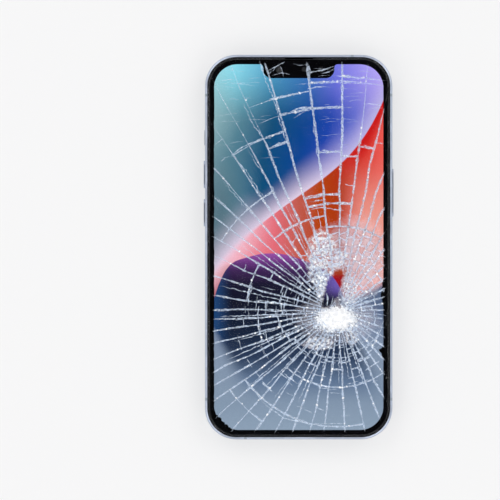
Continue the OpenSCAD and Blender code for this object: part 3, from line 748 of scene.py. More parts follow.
def film_surface():
    """Clear film, clouded by glass powder and lifted where the glass is crushed."""
    material, tree, surface = new_material("clouded_film")
    place = millimetres(tree)
    flat = split(tree, place)

    def away(centre, reach):
        """0 at an ellipse's centre and 1 on its edge."""
        sides = [
            calc(tree, "DIVIDE", calc(tree, "SUBTRACT", flat[axis], centre[axis]), reach[axis])
            for axis in (0, 1)
        ]
        return hypotenuse(tree, *sides)

    lumps = cloud(tree, place, 2.2, 2.0, 0.5)
    ragged = calc(tree, "MULTIPLY_ADD", lumps, 1.5, -0.75)
    heap = calc(tree, "ADD", away(HEAP, HEAP_REACH), ragged)
    powder = soft_range(tree, heap, 1.3, 0.8, 0.0, 0.97)
    halo = soft_range(tree, heap, 2.6, 1.0, 0.0, 0.34)
    soft_edge = calc(tree, "MULTIPLY", ragged, 0.5)
    hazy = calc(tree, "ADD", away(HAZE, HAZE_REACH), soft_edge)
    net = soft_range(tree, hazy, 1.15, 0.5, 0.0, 0.46)
    net = calc(tree, "MULTIPLY", net, soft_range(tree, lumps, 0.35, 0.6, 0.7, 1.0))
    band = 0.0
    for clump in CLUMPS:
        near = calc(tree, "ADD", away(*clump), soft_edge)
        band = calc(tree, "MAXIMUM", band, soft_range(tree, near, 1.25, 0.75))
    clotted = cloud(tree, place, 1.2, 2.0, 0.5, offset=(4, 1, 2))
    band = calc(tree, "MULTIPLY", band, soft_range(tree, clotted, 0.4, 0.56, 0.15, 0.88))
    inputs = {"Vector": place, "Location": (*GAP, 0), "Rotation": (0, 0, GAP_TURN)}
    turned = split(tree, add(tree, "ShaderNodeMapping", inputs, vector_type="TEXTURE").outputs[0])
    sides = [calc(tree, "DIVIDE", turned[axis], GAP_REACH[axis]) for axis in (0, 1)]
    from_gap = calc(tree, "MULTIPLY_ADD", ragged, 0.5, hypotenuse(tree, *sides))
    haze = calc(tree, "MAXIMUM", halo, calc(tree, "MAXIMUM", net, band))
    haze = calc(tree, "MULTIPLY", haze, soft_range(tree, from_gap, 0.8, 1.15))
    fine = soft_range(tree, cloud(tree, place, 5.0), 0.3, 0.8, 0.0, 0.004)
    dust = soft_range(tree, lumps, 0.3, 0.65)
    dust = blend_colours(tree, dust, paint(196, 188, 196), paint(222, 218, 226))
    inputs = {
        "Base Color": blend_colours(
            tree, calc(tree, "MAXIMUM", powder, band), dust, paint(250, 250, 252)
        ),
        "Roughness": soft_range(tree, lumps, 0.3, 0.7, 0.4, 0.7),
        "Specular IOR Level": 0.0,
        "Alpha": calc(tree, "MAXIMUM", calc(tree, "MAXIMUM", powder, haze), fine),
        "Normal": raised(tree, lumps, 0.4, 0.03),
    }
    close_surface(tree, surface, inputs)
    return material


# Colours across the cool field low down and at its top, then across the warm field,
# each after its place from left to right in millimetres
COOL_STOPS = (
    (-33, 148, 186, 192), (-21, 84, 132, 150), (-9, 12, 78, 120), (4, 2, 68, 145),
    (13, 28, 68, 172), (22, 96, 108, 206), (32, 172, 156, 232),
)
TOP_STOPS = (
    (-33, 160, 222, 230), (-24, 144, 226, 244), (-10, 86, 166, 206), (3, 62, 122, 192),
    (15, 122, 124, 234), (32, 188, 172, 252),
)
WARM_STOPS = (
    (-33, 246, 178, 196), (-22, 244, 148, 162), (-9, 232, 110, 122), (0, 198, 92, 78),
    (8, 184, 66, 8), (16, 176, 54, 10), (25, 220, 48, 36), (33, 240, 92, 84),
)
# Colours up the slate field at the foot and up the arch, each after its height
SLATE_STOPS = (
    (-72, 146, 165, 186), (-60, 135, 154, 176), (-42, 134, 151, 174), (-33, 122, 138, 164),
    (-24, 88, 104, 134),
)
ARCH_STOPS = (
    (-70, 145, 164, 185), (-59, 132, 151, 174), (-51, 96, 118, 148), (-42, 44, 60, 88),
    (-33, 20, 34, 58), (-21, 14, 19, 38), (-14, 24, 22, 46), (-9, 62, 36, 84),
    (-6, 104, 54, 124), (-2, 160, 84, 172),
)
# Patches laid over the fields: two ranges that must both be met, a strength and a colour
COOL_PATCHES = ((("y", 52, 10), ("x", -17, -30), 0.85, (82, 110, 124)),)
WARM_PATCHES = (
    (("over", -9, -1), ("x", 10, 24), 1.0, (206, 24, 22)),
    (("y", 38, 8), ("x", 14, 27), 1.0, (240, 156, 142)),
    (("y", -5, -8), ("x", 21, 18), 1.0, (166, 64, 28)),
    (("y", -9, -12), ("x", 19, 17), 1.0, (156, 8, 24)),
    (("over", -11, 0), ("x", -6, -26), 0.8, (248, 196, 212)),
)
ARCH_PATCHES = (
    (("x", -24.5, -33.5), ("y", -50, -28), 0.8, (32, 78, 134)),
    # The violet patch in the clear gap is a painted glint, laid into the picture's colour
    (("x", 6, 15), ("y", -21, -14), 0.9, (112, 92, 182)),
)
# The arch is part of a circle about this place, and bulges out of it by these sizes
ARCH = Vector((-7.3, -27.6))
ARCH_RADIUS = 26.3
BULGE = 2.0
BULGES = (
    (-34, -0.5), (-31.5, -0.4), (-29.6, 0.3), (-27.7, 1.2), (-25.8, 1.5), (-23.9, 1.4),
    (-18.7, 0.1), (-14.4, -0.4), (-10.6, -0.9), (-1, -1.8), (3, -1.8), (8, -1.0), (13, 0.0),
)
# How far left the whole picture is moved
PICTURE_SHIFT = 0.38


def lay_patches(tree, base, values, patches):
    """A field's colour with patches laid over it."""
    for first, second, strength, colour in patches:
        ranges = [soft_range(tree, values[name], low, high) for name, low, high in (first, second)]
        share = calc(tree, "MULTIPLY", calc(tree, "MULTIPLY", *ranges), strength)
        base = blend_colours(tree, share, base, paint(*colour))
    return base


def arch_mask(tree, x, y, drop):
    """1 inside the dark arch, 0 outside: drop is how far below its centre a place is."""
    lift = calc(tree, "MAXIMUM", calc(tree, "SUBTRACT", y, ARCH.y), 0.0)
    side = calc(tree, "SUBTRACT", x, ARCH.x)
    spread = calc(tree, "MULTIPLY", drop, soft_range(tree, side, -12, 4, -0.5, 0.45))
    low, high = -34, 14
    stops = [
        ((at - low) / (high - low), (*((size / BULGE + 1) / 2,) * 3, 1)) for at, size in BULGES
    ]
    bulge = colour_ramp(tree, fit_range(tree, x, low, high), stops)
    bulge = calc(tree, "MULTIPLY_ADD", bulge, BULGE * 2, -BULGE)
    bulge = calc(tree, "MULTIPLY", bulge, soft_range(tree, y, ARCH.y, -20))
    reach = calc(tree, "ADD", calc(tree, "ADD", spread, bulge), ARCH_RADIUS)
    edge = calc(tree, "SUBTRACT", reach, hypotenuse(tree, side, lift))
    blur = calc(tree, "MULTIPLY_ADD", drop, 0.5, 0.25)
    return soft_range(tree, calc(tree, "DIVIDE", edge, blur), -0.5, 0.5)


def lit_picture(strength):
    """The display: a cool field over a warm one, an arch below them, and a pale seam."""
    material, tree, surface = new_material("lit_display")
    place = millimetres(tree)
    x, y, _ = split(tree, place)
    x = calc(tree, "ADD", x, PICTURE_SHIFT)
    # The seam climbs to the right as a polynomial, and over says how far above it a place is
    seam = calc(tree, "MULTIPLY_ADD", x, 0.7033, 19.16)
    steep = calc(tree, "POWER", calc(tree, "MAXIMUM", x, 0.0), 5.0)
    seam = calc(tree, "MULTIPLY_ADD", steep, 1.826e-7, seam)
    bend = calc(tree, "MULTIPLY", calc(tree, "MULTIPLY", x, x), x)
    seam = calc(tree, "MULTIPLY_ADD", bend, 2.046e-4, seam)
    over = calc(tree, "MULTIPLY", calc(tree, "SUBTRACT", y, seam), 0.78)
    values = {"x": x, "y": y, "over": over}

    moved = calc(tree, "ADD", x, soft_range(tree, y, 52, 32, 0.0, 4.5))
    cool = position_ramp(tree, moved, -34, 34, COOL_STOPS)
    top = position_ramp(tree, x, -34, 34, TOP_STOPS)
    cool = blend_colours(tree, soft_range(tree, y, 46, 72), cool, top)
    cool = lay_patches(tree, cool, values, COOL_PATCHES)
    left_reach = soft_range(tree, x, -12, -22, 10.0, 15.0)
    reach = calc(tree, "ADD", left_reach, soft_range(tree, x, -8, 2, 0.0, 1.5))
    glow = calc(tree, "SUBTRACT", 1.0, calc(tree, "DIVIDE", over, reach))
    glow = calc(tree, "POWER", calc(tree, "MAXIMUM", glow, 0.0), 1.7)
    violet = soft_range(tree, x, 0, 26)
    violet = blend_colours(tree, violet, paint(232, 214, 236), paint(190, 184, 232))
    cool = blend_colours(tree, glow, cool, violet)

    warm = position_ramp(tree, x, -34, 34, WARM_STOPS)
    warm = lay_patches(tree, warm, values, WARM_PATCHES)
    slate = position_ramp(tree, y, -74, -20, SLATE_STOPS)
    beside = calc(tree, "MAXIMUM", calc(tree, "SUBTRACT", x, 20.0), 0.0)
    tilted = calc(tree, "MULTIPLY_ADD", beside, -0.5, y)
    warm = blend_colours(tree, soft_range(tree, tilted, -18, -22), warm, slate)

    drop = calc(tree, "MAXIMUM", calc(tree, "SUBTRACT", ARCH.y, y), 0.0)
    arch_colour = position_ramp(tree, y, -72, 0, ARCH_STOPS)
    arch_colour = lay_patches(tree, arch_colour, values, ARCH_PATCHES)
    blurred = calc(tree, "DIVIDE", over, soft_range(tree, x, -10, -27, 0.22, 2.4))
    picture = blend_colours(tree, soft_range(tree, blurred, -1, 1), warm, cool)
    picture = blend_colours(tree, arch_mask(tree, x, y, drop), picture, arch_colour)
    grid = speckle(tree, place, 2.2, 1.0)
    dimmed = calc(tree, "MULTIPLY", soft_range(tree, grid, 0.35, 0.65), 0.04)
    inputs = {
        "Base Color": paint(6, 6, 8),
        "Roughness": soft_range(tree, grid, 0.3, 0.7, 0.35, 0.5),
        "Specular IOR Level": 0.0,
        "Emission Color": blend_colours(tree, dimmed, picture, paint(0, 0, 0)),
        "Emission Strength": strength,
    }
    close_surface(tree, surface, inputs)
    return material


def woven_wires(tree, place, grained):
    """A fine wire mesh: dark holes between crossing wires."""
    wires = 1.0
    for axis in ("X", "Y", "Z"):
        inputs = {"Vector": place, "Scale": 1.6}
        wave = add(tree, "ShaderNodeTexWave", inputs, wave_type="BANDS", bands_direction=axis)
        wires = calc(tree, "MULTIPLY", wires, soft_range(tree, wave.outputs["Fac"], 0.35, 0.65))
    return wires, wires


def wound_wire(tree, place, grained):
    """Turns of flat wire around the coil's middle."""
    flat = split(tree, place)
    low, high = (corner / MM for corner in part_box("charging_coil"))
    middle = (low + high) / 2
    sides = [calc(tree, "SUBTRACT", flat[axis], middle[axis]) for axis in (0, 1)]
    turn = calc(tree, "FRACT", calc(tree, "MULTIPLY", hypotenuse(tree, *sides), 1.25))
    ridge = calc(tree, "PINGPONG", turn, 0.5)
    return soft_range(tree, ridge, 0.0, 0.16, 1.0, 0.0), ridge


def board_traces(tree, place, grained):
    """Square fields of tracks and pads under solder mask."""
    inputs = {"Vector": place, "Scale": 0.45}
    cells = add(tree, "ShaderNodeTexVoronoi", inputs, distance="CHEBYCHEV").outputs["Distance"]
    tracks = soft_range(tree, calc(tree, "FRACT", calc(tree, "MULTIPLY", cells, 4.0)), 0.7, 0.8)
    return tracks, tracks


def foil_wrinkles(tree, place, grained):
    """Slow creases in a foil pouch."""
    inputs = {"Vector": place, "Scale": (0.6, 1.5, 1.0)}
    stretched = add(tree, "ShaderNodeMapping", inputs).outputs["Vector"]
    crease = cloud(tree, stretched, 6.0, 4.0, 0.6)
    return soft_range(tree, crease, 0.35, 0.7), crease


def edge_rubbed(tree, place, grained):
    """Anodising rubbed thin along the top and bottom edges of the side wall."""
    height = split(tree, place)[2]
    top = soft_range(tree, height, GLASS_TOP - 0.55, GLASS_TOP - 0.1)
    foot = soft_range(tree, height, 3.25, 2.95)
    patches = soft_range(tree, cloud(tree, place, 4.0, 4.0, 0.65), 0.42, 0.62)
    rubbed = calc(tree, "MULTIPLY", calc(tree, "MAXIMUM", top, foot), patches)
    share = calc(tree, "MULTIPLY_ADD", rubbed, 0.75, calc(tree, "MULTIPLY", grained["Tone"], 0.25))
    return share, grained["Height"]


def display_gasket(tree, place):
    """The thin black gasket that lines the metal around the cover glass."""
    flat = split(tree, place)
    sides = []
    for axis in (0, 1):
        straight = GLASS_HIGH[axis] - GLASS_CORNER
        side = calc(tree, "SUBTRACT", calc(tree, "ABSOLUTE", flat[axis]), straight)
        sides.append(calc(tree, "MAXIMUM", side, 0.0))
    past_glass = calc(tree, "SUBTRACT", hypotenuse(tree, *sides), GLASS_CORNER)
    near = soft_range(tree, past_glass, GASKET + 0.04, GASKET - 0.04)
    high = soft_range(tree, flat[2], GLASS_TOP - 1.3, GLASS_TOP - 1.2)
    return calc(tree, "MULTIPLY", near, high)


# Each slot's finish: its material's name, its colour and second colour, its roughness,
# how metallic it is, and what else differs. Where the colour is the name of a setting,
# the second colour is that one made lighter or darker.
FINISHES = {
    "anodised_frame": (
        "anodised_frame", "metal", (1.22, 0.05), 0.34, 1.0,
        {"grain": 0.05, "depth": 0.004, "scratches": 0.35, "marks": 0.4, "dust": 0.08,
         "pattern": edge_rubbed, "lining": display_gasket},
    ),
    "antenna_plastic": (
        "antenna_plastic", (150, 162, 176), (138, 150, 166), 0.45, 0.0,
        {"grain": 0.06, "scratches": 0.3, "dust": 0.1, "lining": display_gasket},
    ),
    "rear_glass": (
        "rear_glass", "rear", (0.9, 0.0), 0.2, 0.0,
        {"grain": 6.0, "depth": 0.0004, "scratches": 0.25, "marks": 0.8, "dust": 0.12,
         "lacquer": 0.6},
    ),
    "seal": (
        "seal_foam", (22, 23, 25), (34, 35, 38), 0.85, 0.0,
        {"grain": 0.15, "depth": 0.02, "scratches": 0.0, "dust": 0.35},
    ),
    "flex_print": (
        "flex_print", (170, 112, 40), (120, 70, 22), 0.35, 0.0,
        {"grain": 0.4, "pattern": board_traces, "dust": 0.05},
    ),
    "battery_pouch": (
        "battery_pouch", (34, 36, 40), (56, 58, 64), 0.42, 0.0,
        {"grain": 0.5, "depth": 0.05, "pattern": foil_wrinkles, "dust": 0.1},
    ),
    "white_strip": (
        "pull_strip", (226, 228, 230), (208, 210, 214), 0.5, 0.0, {"grain": 0.3, "dust": 0.1},
    ),
    "circuit_board": (
        "circuit_board", (22, 72, 58), (52, 120, 84), 0.38, 0.0,
        {"grain": 0.3, "pattern": board_traces, "dust": 0.06, "lacquer": 0.4},
    ),
    "stamped_steel": (
        "stamped_steel", (168, 172, 178), (146, 150, 156), 0.3, 1.0,
        {"grain": 0.12, "depth": 0.006, "scratches": 0.5, "dust": 0.06},
    ),
    "screw_steel": (
        "screw_steel", (150, 154, 160), (120, 124, 130), 0.28, 1.0,
        {"grain": 0.08, "depth": 0.004, "scratches": 0.7, "dust": 0.05},
    ),
    "card_gold": (
        "subscriber_card", (214, 178, 84), (232, 230, 224), 0.35, 0.0, {"grain": 1.5, "dust": 0.05},
    ),
    "black_body": (
        "black_moulding", (20, 21, 24), (34, 35, 39), 0.5, 0.0,
        {"grain": 0.09, "depth": 0.012, "scratches": 0.25},
    ),
    "lens_glass": (
        "coated_lens", (18, 22, 44), (58, 34, 92), 0.08, 0.0,
        {"grain": 2.0, "depth": 0.0, "scratches": 0.0, "dust": 0.04, "lacquer": 1.0},
    ),
    "lens_cover_glass": (
        "lens_cover", (8, 9, 12), (14, 16, 22), 0.06, 0.0,
        {"grain": 3.0, "depth": 0.0, "scratches": 0.15, "marks": 0.4, "dust": 0.06,
         "lacquer": 1.0},
    ),
    "camera_ring_metal": (
        "polished_ring", (176, 192, 208), (196, 210, 222), 0.16, 1.0,
        {"grain": 0.05, "depth": 0.002, "scratches": 0.5, "marks": 0.3, "dust": 0.05},
    ),
    "flash_plastic": (
        "flash_diffuser", (244, 238, 214), (232, 222, 190), 0.35, 0.0,
        {"grain": 0.35, "depth": 0.02, "dust": 0.04},
    ),
    "led_yellow": (
        "led_phosphor", (236, 206, 70), (214, 178, 40), 0.6, 0.0, {"grain": 0.12, "depth": 0.01},
    ),
    "copper": (
        "wound_copper", (190, 112, 58), (96, 50, 24), 0.3, 1.0,
        {"grain": 0.2, "depth": 0.03, "pattern": wound_wire},
    ),
    "magnet_metal": (
        "plated_magnet", (118, 122, 128), (98, 102, 108), 0.32, 1.0, {"scratches": 0.6},
    ),
    "contact_gold": (
        "gold_contact", (222, 184, 92), (196, 150, 58), 0.25, 1.0,
        {"grain": 0.12, "scratches": 0.6},
    ),
    "fine_mesh": (
        "wire_mesh", (10, 10, 12), (92, 96, 104), 0.4, 1.0,
        {"grain": 0.2, "depth": 0.05, "pattern": woven_wires, "dust": 0.25},
    ),
}


def finish_material(slot, settings):
    """A new material with one slot's finish."""
    name, colour, second, roughness, metallic, more = FINISHES[slot]
    if isinstance(colour, str):
        colour = shade(getattr(settings, colour))
        second = shade(colour, *second)
    else:
        colour, second = paint(*colour), paint(*second)
    return surface_finish(name, colour, second, roughness, metallic, **more)


def broken_material(name, glass):
    """One of the three kinds of broken glass, made the first time it is asked for. Torn and crushed
    glass get a faint painted glow.
    """
    kinds = {
        # Each kind: colour, least and most cover, strength of its painted glow, size of its lumps,
        # and the share of the colour left in its dullest places
        "torn_glass": (glass.torn, 0.25, 0.74, 0.08, 0.9, 0.76),
        "veiled_glass": (glass.torn, 0.0, 0.55, 0.0, 0.6, 0.8),
        "crushed_glass": (paint(252, 253, 255), 0.85, 1.0, 0.05, 1.1, 0.94),
    }
    return bpy.data.materials.get(name) or fracture_faces(name, *kinds[name])


def set_finish(node_name, material):
    """Puts one material in every slot of a node from the frame."""
    mesh = NODES[node_name].data
    if not mesh.materials:
        mesh.materials.append(material)
    for i in range(len(mesh.materials)):
        mesh.materials[i] = material


# ------------------------------------------------------------- broken glass


def is_lit(x, y):
    """Whether a place lies over the lit picture or the notch, where cracks show."""
    if abs(x) < NOTCH_X + 1 and y > NOTCH_Y - 1:
        return y < LIT_Y + 0.6
    return beyond(x, y, LIT_X, LIT_Y, LIT_CORNER) < 0.25


def quiet(x, y):
    """The share of a crack's width that is left at a place."""
    left = 1.0
    for centre, reach, share in QUIET:
        left *= 1 - (1 - share) * smooth_step(1.15, 0.8, ellipse_place((x, y), centre, reach))
    return left


def lumpy(x, y, scale, layer):
    """Smooth noise at a place, from about -1 to 1."""
    return noise.noise(Vector((x * scale, y * scale, layer)))


def between(start, end, part):
    """The place a part of the way from a start to an end."""
    return (start[0] + (end[0] - start[0]) * part, start[1] + (end[1] - start[1]) * part)


def shard_outlines():
    """Each shard of the frame's cover glass from above: its points and its edges' kinds."""
    bm = bmesh.new()
    bm.from_mesh(NODES["cover_glass"].data)
    bmesh.ops.remove_doubles(bm, verts=bm.verts, dist=1e-6)
    top = max(v.co.z for v in bm.verts) - 1e-5
    hidden = [f for f in bm.faces if min(v.co.z for v in f.verts) < top]
    bmesh.ops.delete(bm, geom=hidden, context="FACES")
    bmesh.ops.dissolve_limit(bm, angle_limit=0.01, verts=bm.verts, edges=bm.edges)
    cells = []
    for face in bm.faces:
        points = [(v.co.x / MM, v.co.y / MM) for v in face.verts]
        if face.normal.z < 0:
            points.reverse()
        kinds = []
        for a, b in zip(points, points[1:] + points[:1]):
            past = beyond(*between(a, b, 0.5), GLASS_HIGH.x, GLASS_HIGH.y, GLASS_CORNER)
            kinds.append("rim" if past > -0.06 else "crack")
        cells.append((points, kinds))
    bm.free()
    cells.sort(key=lambda cell: (round(cell[0][0][0], 3), round(cell[0][0][1], 3), len(cell[0])))
    return cells


def middle_of(points):
    """A cell's middle and its area, which is less than 0 where its points run clockwise."""
    area, mx, my = 0.0, 0.0, 0.0
    for (ax, ay), (bx, by) in zip(points, points[1:] + points[:1]):
        cross = ax * by - bx * ay
        area += cross
        mx += (ax + bx) * cross
        my += (ay + by) * cross
    if abs(area) < 1e-9:
        return points[0], 0.0
    return (mx / (3 * area), my / (3 * area)), area / 2


def beside_gap(at):
    """1 in the clumps of finest breaks around the fallen shard's gap, else 0."""
    return max(smooth_step(1.15, 0.85, ellipse_place(at, *clump)) for clump in CLUMPS)


def target_size(at):
    """How wide the broken pieces are at a place, in millimetres."""
    heap = ellipse_place(at, HEAP, (1, 1))
    size = 1000.0
    for reach, width in ((17, 3.6), (12, 2.4), (8.5, 1.4), (5.5, 0.95)):
        if heap < reach:
            size = width
    if ellipse_place(at, NET, NET_REACH) < 1:
        size = min(size, 3.6)
    if beside_gap(at) > 0.5:
        size = min(size, 2.1)
    if gap_place(at) < GAP_WHOLE:
        size = 1000.0
    if at[0] > 21 and -26 < at[1] < -17:
        size = min(size, 2.6)
    return size


def cut_cell(cell, at, along):
    """A cell cut in two by a line through a place."""
    points, kinds = cell
    across = Vector((-along.y, along.x))
    sides = [(x - at.x) * across.x + (y - at.y) * across.y for x, y in points]
    halves = []
    for sign in (1, -1):
        new_points, new_kinds = [], []
        for i, point in enumerate(points):
            j = (i + 1) % len(points)
            here, there = sides[i] * sign, sides[j] * sign
            if here >= 0:
                new_points.append(point)
                new_kinds.append(kinds[i])
            if (here >= 0) != (there >= 0):
                new_points.append(between(point, points[j], here / (here - there)))
                new_kinds.append("split" if here >= 0 else kinds[i])
        halves.append((new_points, new_kinds))
    return halves


def break_up(cell, rng, depth=0):
    """A cell broken again and again until its pieces have the size for their place."""
    points, _ = cell
    at, area = middle_of(points)
    size = target_size(at)
    away = Vector(at) - IMPACT
    away.normalize()
    beside = Vector((-away.y, away.x))
    spans = []
    for way in (away, beside):
        along = [x * way.x + y * way.y for x, y in points]
        spans.append(max(along) - min(along))
    in_net = ellipse_place(at, NET, NET_REACH) < 1
    if not in_net:
        spans[0] *= 0.3 if at[0] > 20 else 0.55
    if depth > 9 or max(spans) < size * 1.35 or area < 0.12:
        return [cell]
    cut = beside if spans[0] >= spans[1] else away
    near_heap = math.dist(at, HEAP) < 10
    wander = 0.55 if in_net or near_heap else 0.28
    turn = rng.uniform(-wander, wander)
    cosine, sine = math.cos(turn), math.sin(turn)
    cut = Vector((cut.x * cosine - cut.y * sine, cut.x * sine + cut.y * cosine))
    shift = Vector((rng.uniform(-0.16, 0.16), rng.uniform(-0.16, 0.16))) * max(spans)
    pieces = []
    for half in cut_cell(cell, Vector(at) + shift, cut):
        if len(half[0]) >= 3 and middle_of(half[0])[1] > 0.02:
            pieces += break_up(half, rng, depth + 1)
    return pieces or [cell]


def crack_width(x, y, kind, rng, widths):
    """How far the white face of a crack reaches from its line at a place."""
    if kind == "rim":
        return widths["rim"]
    if not is_lit(x, y) or gap_place((x, y)) < GAP_EDGE:
        return 0.012
    near = math.dist((x, y), IMPACT)
    base = widths[kind] * (1.08 - 0.25 * smooth_step(20, 9, near)) * quiet(x, y)
    if ellipse_place((x, y), NET, NET_REACH) < 1:
        base *= 1.9 if kind == "split" else 1.5
    wide = base * (0.8 + 0.8 * lumpy(x, y, 0.85, 3.0) + 0.8 * lumpy(x, y, 0.16, 9.0))
    wide *= rng.uniform(0.75, 1.25)
    if rng.random() < 0.045:
        wide += base * rng.uniform(0.5, 1.2)
    return max(wide, 0.03)


def fine_edges(points, kinds, step):
    """A cell's outline with its cracked edges given more points."""
    more, tags = [], []
    for a, b, kind in zip(points, points[1:] + points[:1], kinds):
        count = 1 if kind == "rim" else max(1, round(math.dist(a, b) / step))
        more += [between(a, b, k / count) for k in range(count)]
        tags += [kind] * count
    return more, tags


def pull_in(points, reach):
    """An outline drawn inwards, each point by its own reach from the edges before and after it."""
    normals = []
    for (ax, ay), (bx, by) in zip(points, points[1:] + points[:1]):
        length = math.hypot(bx - ax, by - ay) or 1e-9
        normals.append((-(by - ay) / length, (bx - ax) / length))
    moved = []
    for i, (w1, w2) in enumerate(reach):
        n1, n2 = normals[i - 1], normals[i]
        c = n1[0] * n2[0] + n1[1] * n2[1]
        if c > 0.9:
            w = (w1 + w2) / 2
            shift = (n2[0] * w, n2[1] * w)
        else:
            a = (w1 - c * w2) / (1 - c * c + 1e-6)
            b = (w2 - c * w1) / (1 - c * c + 1e-6)
            shift = (n1[0] * a + n2[0] * b, n1[1] * a + n2[1] * b)
        length = math.hypot(*shift)
        limit = 2.2 * max(w1, w2)
        scale = limit / length if length > limit else 1.0
        moved.append((points[i][0] + shift[0] * scale, points[i][1] + shift[1] * scale))
    return moved


def shard_solid(cell, rng, widths, solid, faces, slots):
    """Adds one shard as a closed solid with torn edges around its top."""
    points, kinds = cell
    at, area = middle_of(points)
    size = math.sqrt(max(area, 0.01))
    points, kinds = fine_edges(points, kinds, 0.85 if size > 3 else max(0.45, size * 0.4))
    count = len(points)
    beside = [(kinds[i - 1], kinds[i]) for i in range(count)]
    around = sum(math.dist(points[i], points[i - 1]) for i in range(count))
    limit = (0.6 + 0.25 * beside_gap(at)) * area / around
    reach = [
        tuple(
            min(crack_width(x, y, kind, rng, widths), limit * rng.uniform(0.8, 1.15))
            for kind in pair
        )
        for (x, y), pair in zip(points, beside)
    ]
    slack = {"rim": 0.0, "crack": 0.0, "split": SLACK}
    skirt = pull_in(points, [(slack[before], slack[after]) for before, after in beside])
    top = pull_in(points, reach)
    if middle_of(top)[1] < 0.15 * area:
        top = [between(at, point, 0.55) for point in points]
    middle = [between(outer, inner, rng.uniform(0.15, 0.5)) for outer, inner in zip(skirt, top)]
    heap = ellipse_place(at, HEAP, HEAP_REACH)
    near = math.dist(at, IMPACT)
    sink = 0.3 * smooth_step(1.5, 0.7, heap) + 0.05 * smooth_step(16, 5, near)
    shaken = 0.045 if size < 3 else 0.03
    sink += rng.uniform(0.0, shaken)
    lean = Vector((rng.uniform(-1, 1), rng.uniform(-1, 1))) * (shaken / max(size, 1.0))
    if "rim" in kinds:
        sink, lean = 0.0, Vector((0, 0))

    def height(x, y):
        tilt = (x - at[0]) * lean.x + (y - at[1]) * lean.y
        return min(GLASS_TOP - sink + tilt, GLASS_TOP)

    start = len(solid)
    solid += [(x, y, height(x, y)) for x, y in top]
    for (x, y), wide in zip(middle, reach):
        drop = min(0.05 + max(wide) * rng.uniform(0.5, 1.0), 0.4)
        solid.append((x, y, height(x, y) - drop))
    solid += [(x, y, GLASS_BASE) for x, y in skirt]
    faces.append(tuple(range(start, start + count)))
    faces.append(tuple(reversed(range(start + 2 * count, start + 3 * count))))
    slots += [0, 0]
    for i, point in enumerate(points):
        torn = kinds[i] != "rim" and is_lit(*point) and gap_place(point) > GAP_EDGE
        for level in (start, start + count):
            a, b = level + i, level + (i + 1) % count
            faces.append((a, a + count, b + count, b))
            slots.append(int(torn))


def polyline(points, half_width, rng, wobble):
    """A hand-broken line that tapers at both ends: its points, and its half width at each."""
    line, widths = [], []
    lengths = [0.0]
    for i in range(1, len(points)):
        lengths.append(lengths[-1] + math.dist(points[i - 1], points[i]))
    count = max(3, round(lengths[-1] / LINE_STEP))
    for k in range(count + 1):
        at = lengths[-1] * k / count
        i = 1
        while i < len(points) - 1 and lengths[i] < at:
            i += 1
        part = (at - lengths[i - 1]) / max(lengths[i] - lengths[i - 1], 1e-9)
        x, y = between(points[i - 1], points[i], part)
        line.append((x + rng.gauss(0, wobble), y + rng.gauss(0, wobble)))
        taper = math.sin(math.pi * min(max(k / count, 0.02), 0.98)) ** 0.5
        widths.append(max(0.02, half_width * taper * (1 + LINE_RAGGED * rng.uniform(-1, 1))))
    return line, widths


# How far the foot of a crumb keeps from its neighbour's
SLACK = 0.012
# The smallest shard, in square millimetres, that has slanting fractures under its edges
VEILED_AREA = 3.5
# How far apart the points of a fine crack are, and how unevenly wide it is
LINE_STEP = 0.8
LINE_RAGGED = 0.65

# Cracks too fine to part the glass: their points in millimetres and their half width
FINE_CRACKS = (
    (((16.4, 70.9), (16.5, 55.0), (16.3, 38.6)), 0.17),
    (((3.7, 69.4), (5.7, 47.0), (6.9, 37.0), (8.7, 29.6), (9.9, 9.6)), 0.14),
    (((-14.7, 70.9), (-12.7, 64.4), (-9.3, 55.5), (-6.2, 44.5), (-3.3, 37.0), (-0.8, 28.1)), 0.16),
    (
        ((-21.2, 55.0), (-17.7, 47.0), (-13.2, 41.1), (-10.7, 35.1), (-8.3, 29.6), (-6.0, 22.1)),
        0.14,
    ),
    (((-19.7, 37.5), (-15.7, 31.1), (-12.2, 26.1), (-8.3, 20.1)), 0.11),
    (((-25.7, 35.1), (-19.7, 28.6), (-15.2, 21.6), (-11.2, 17.1)), 0.12),
    (((-29.2, 25.6), (-22.7, 17.6), (-17.7, 12.6)), 0.1),
    (((-31.7, 19.1), (-26.2, 14.1), (-20.7, 9.1)), 0.1),
)

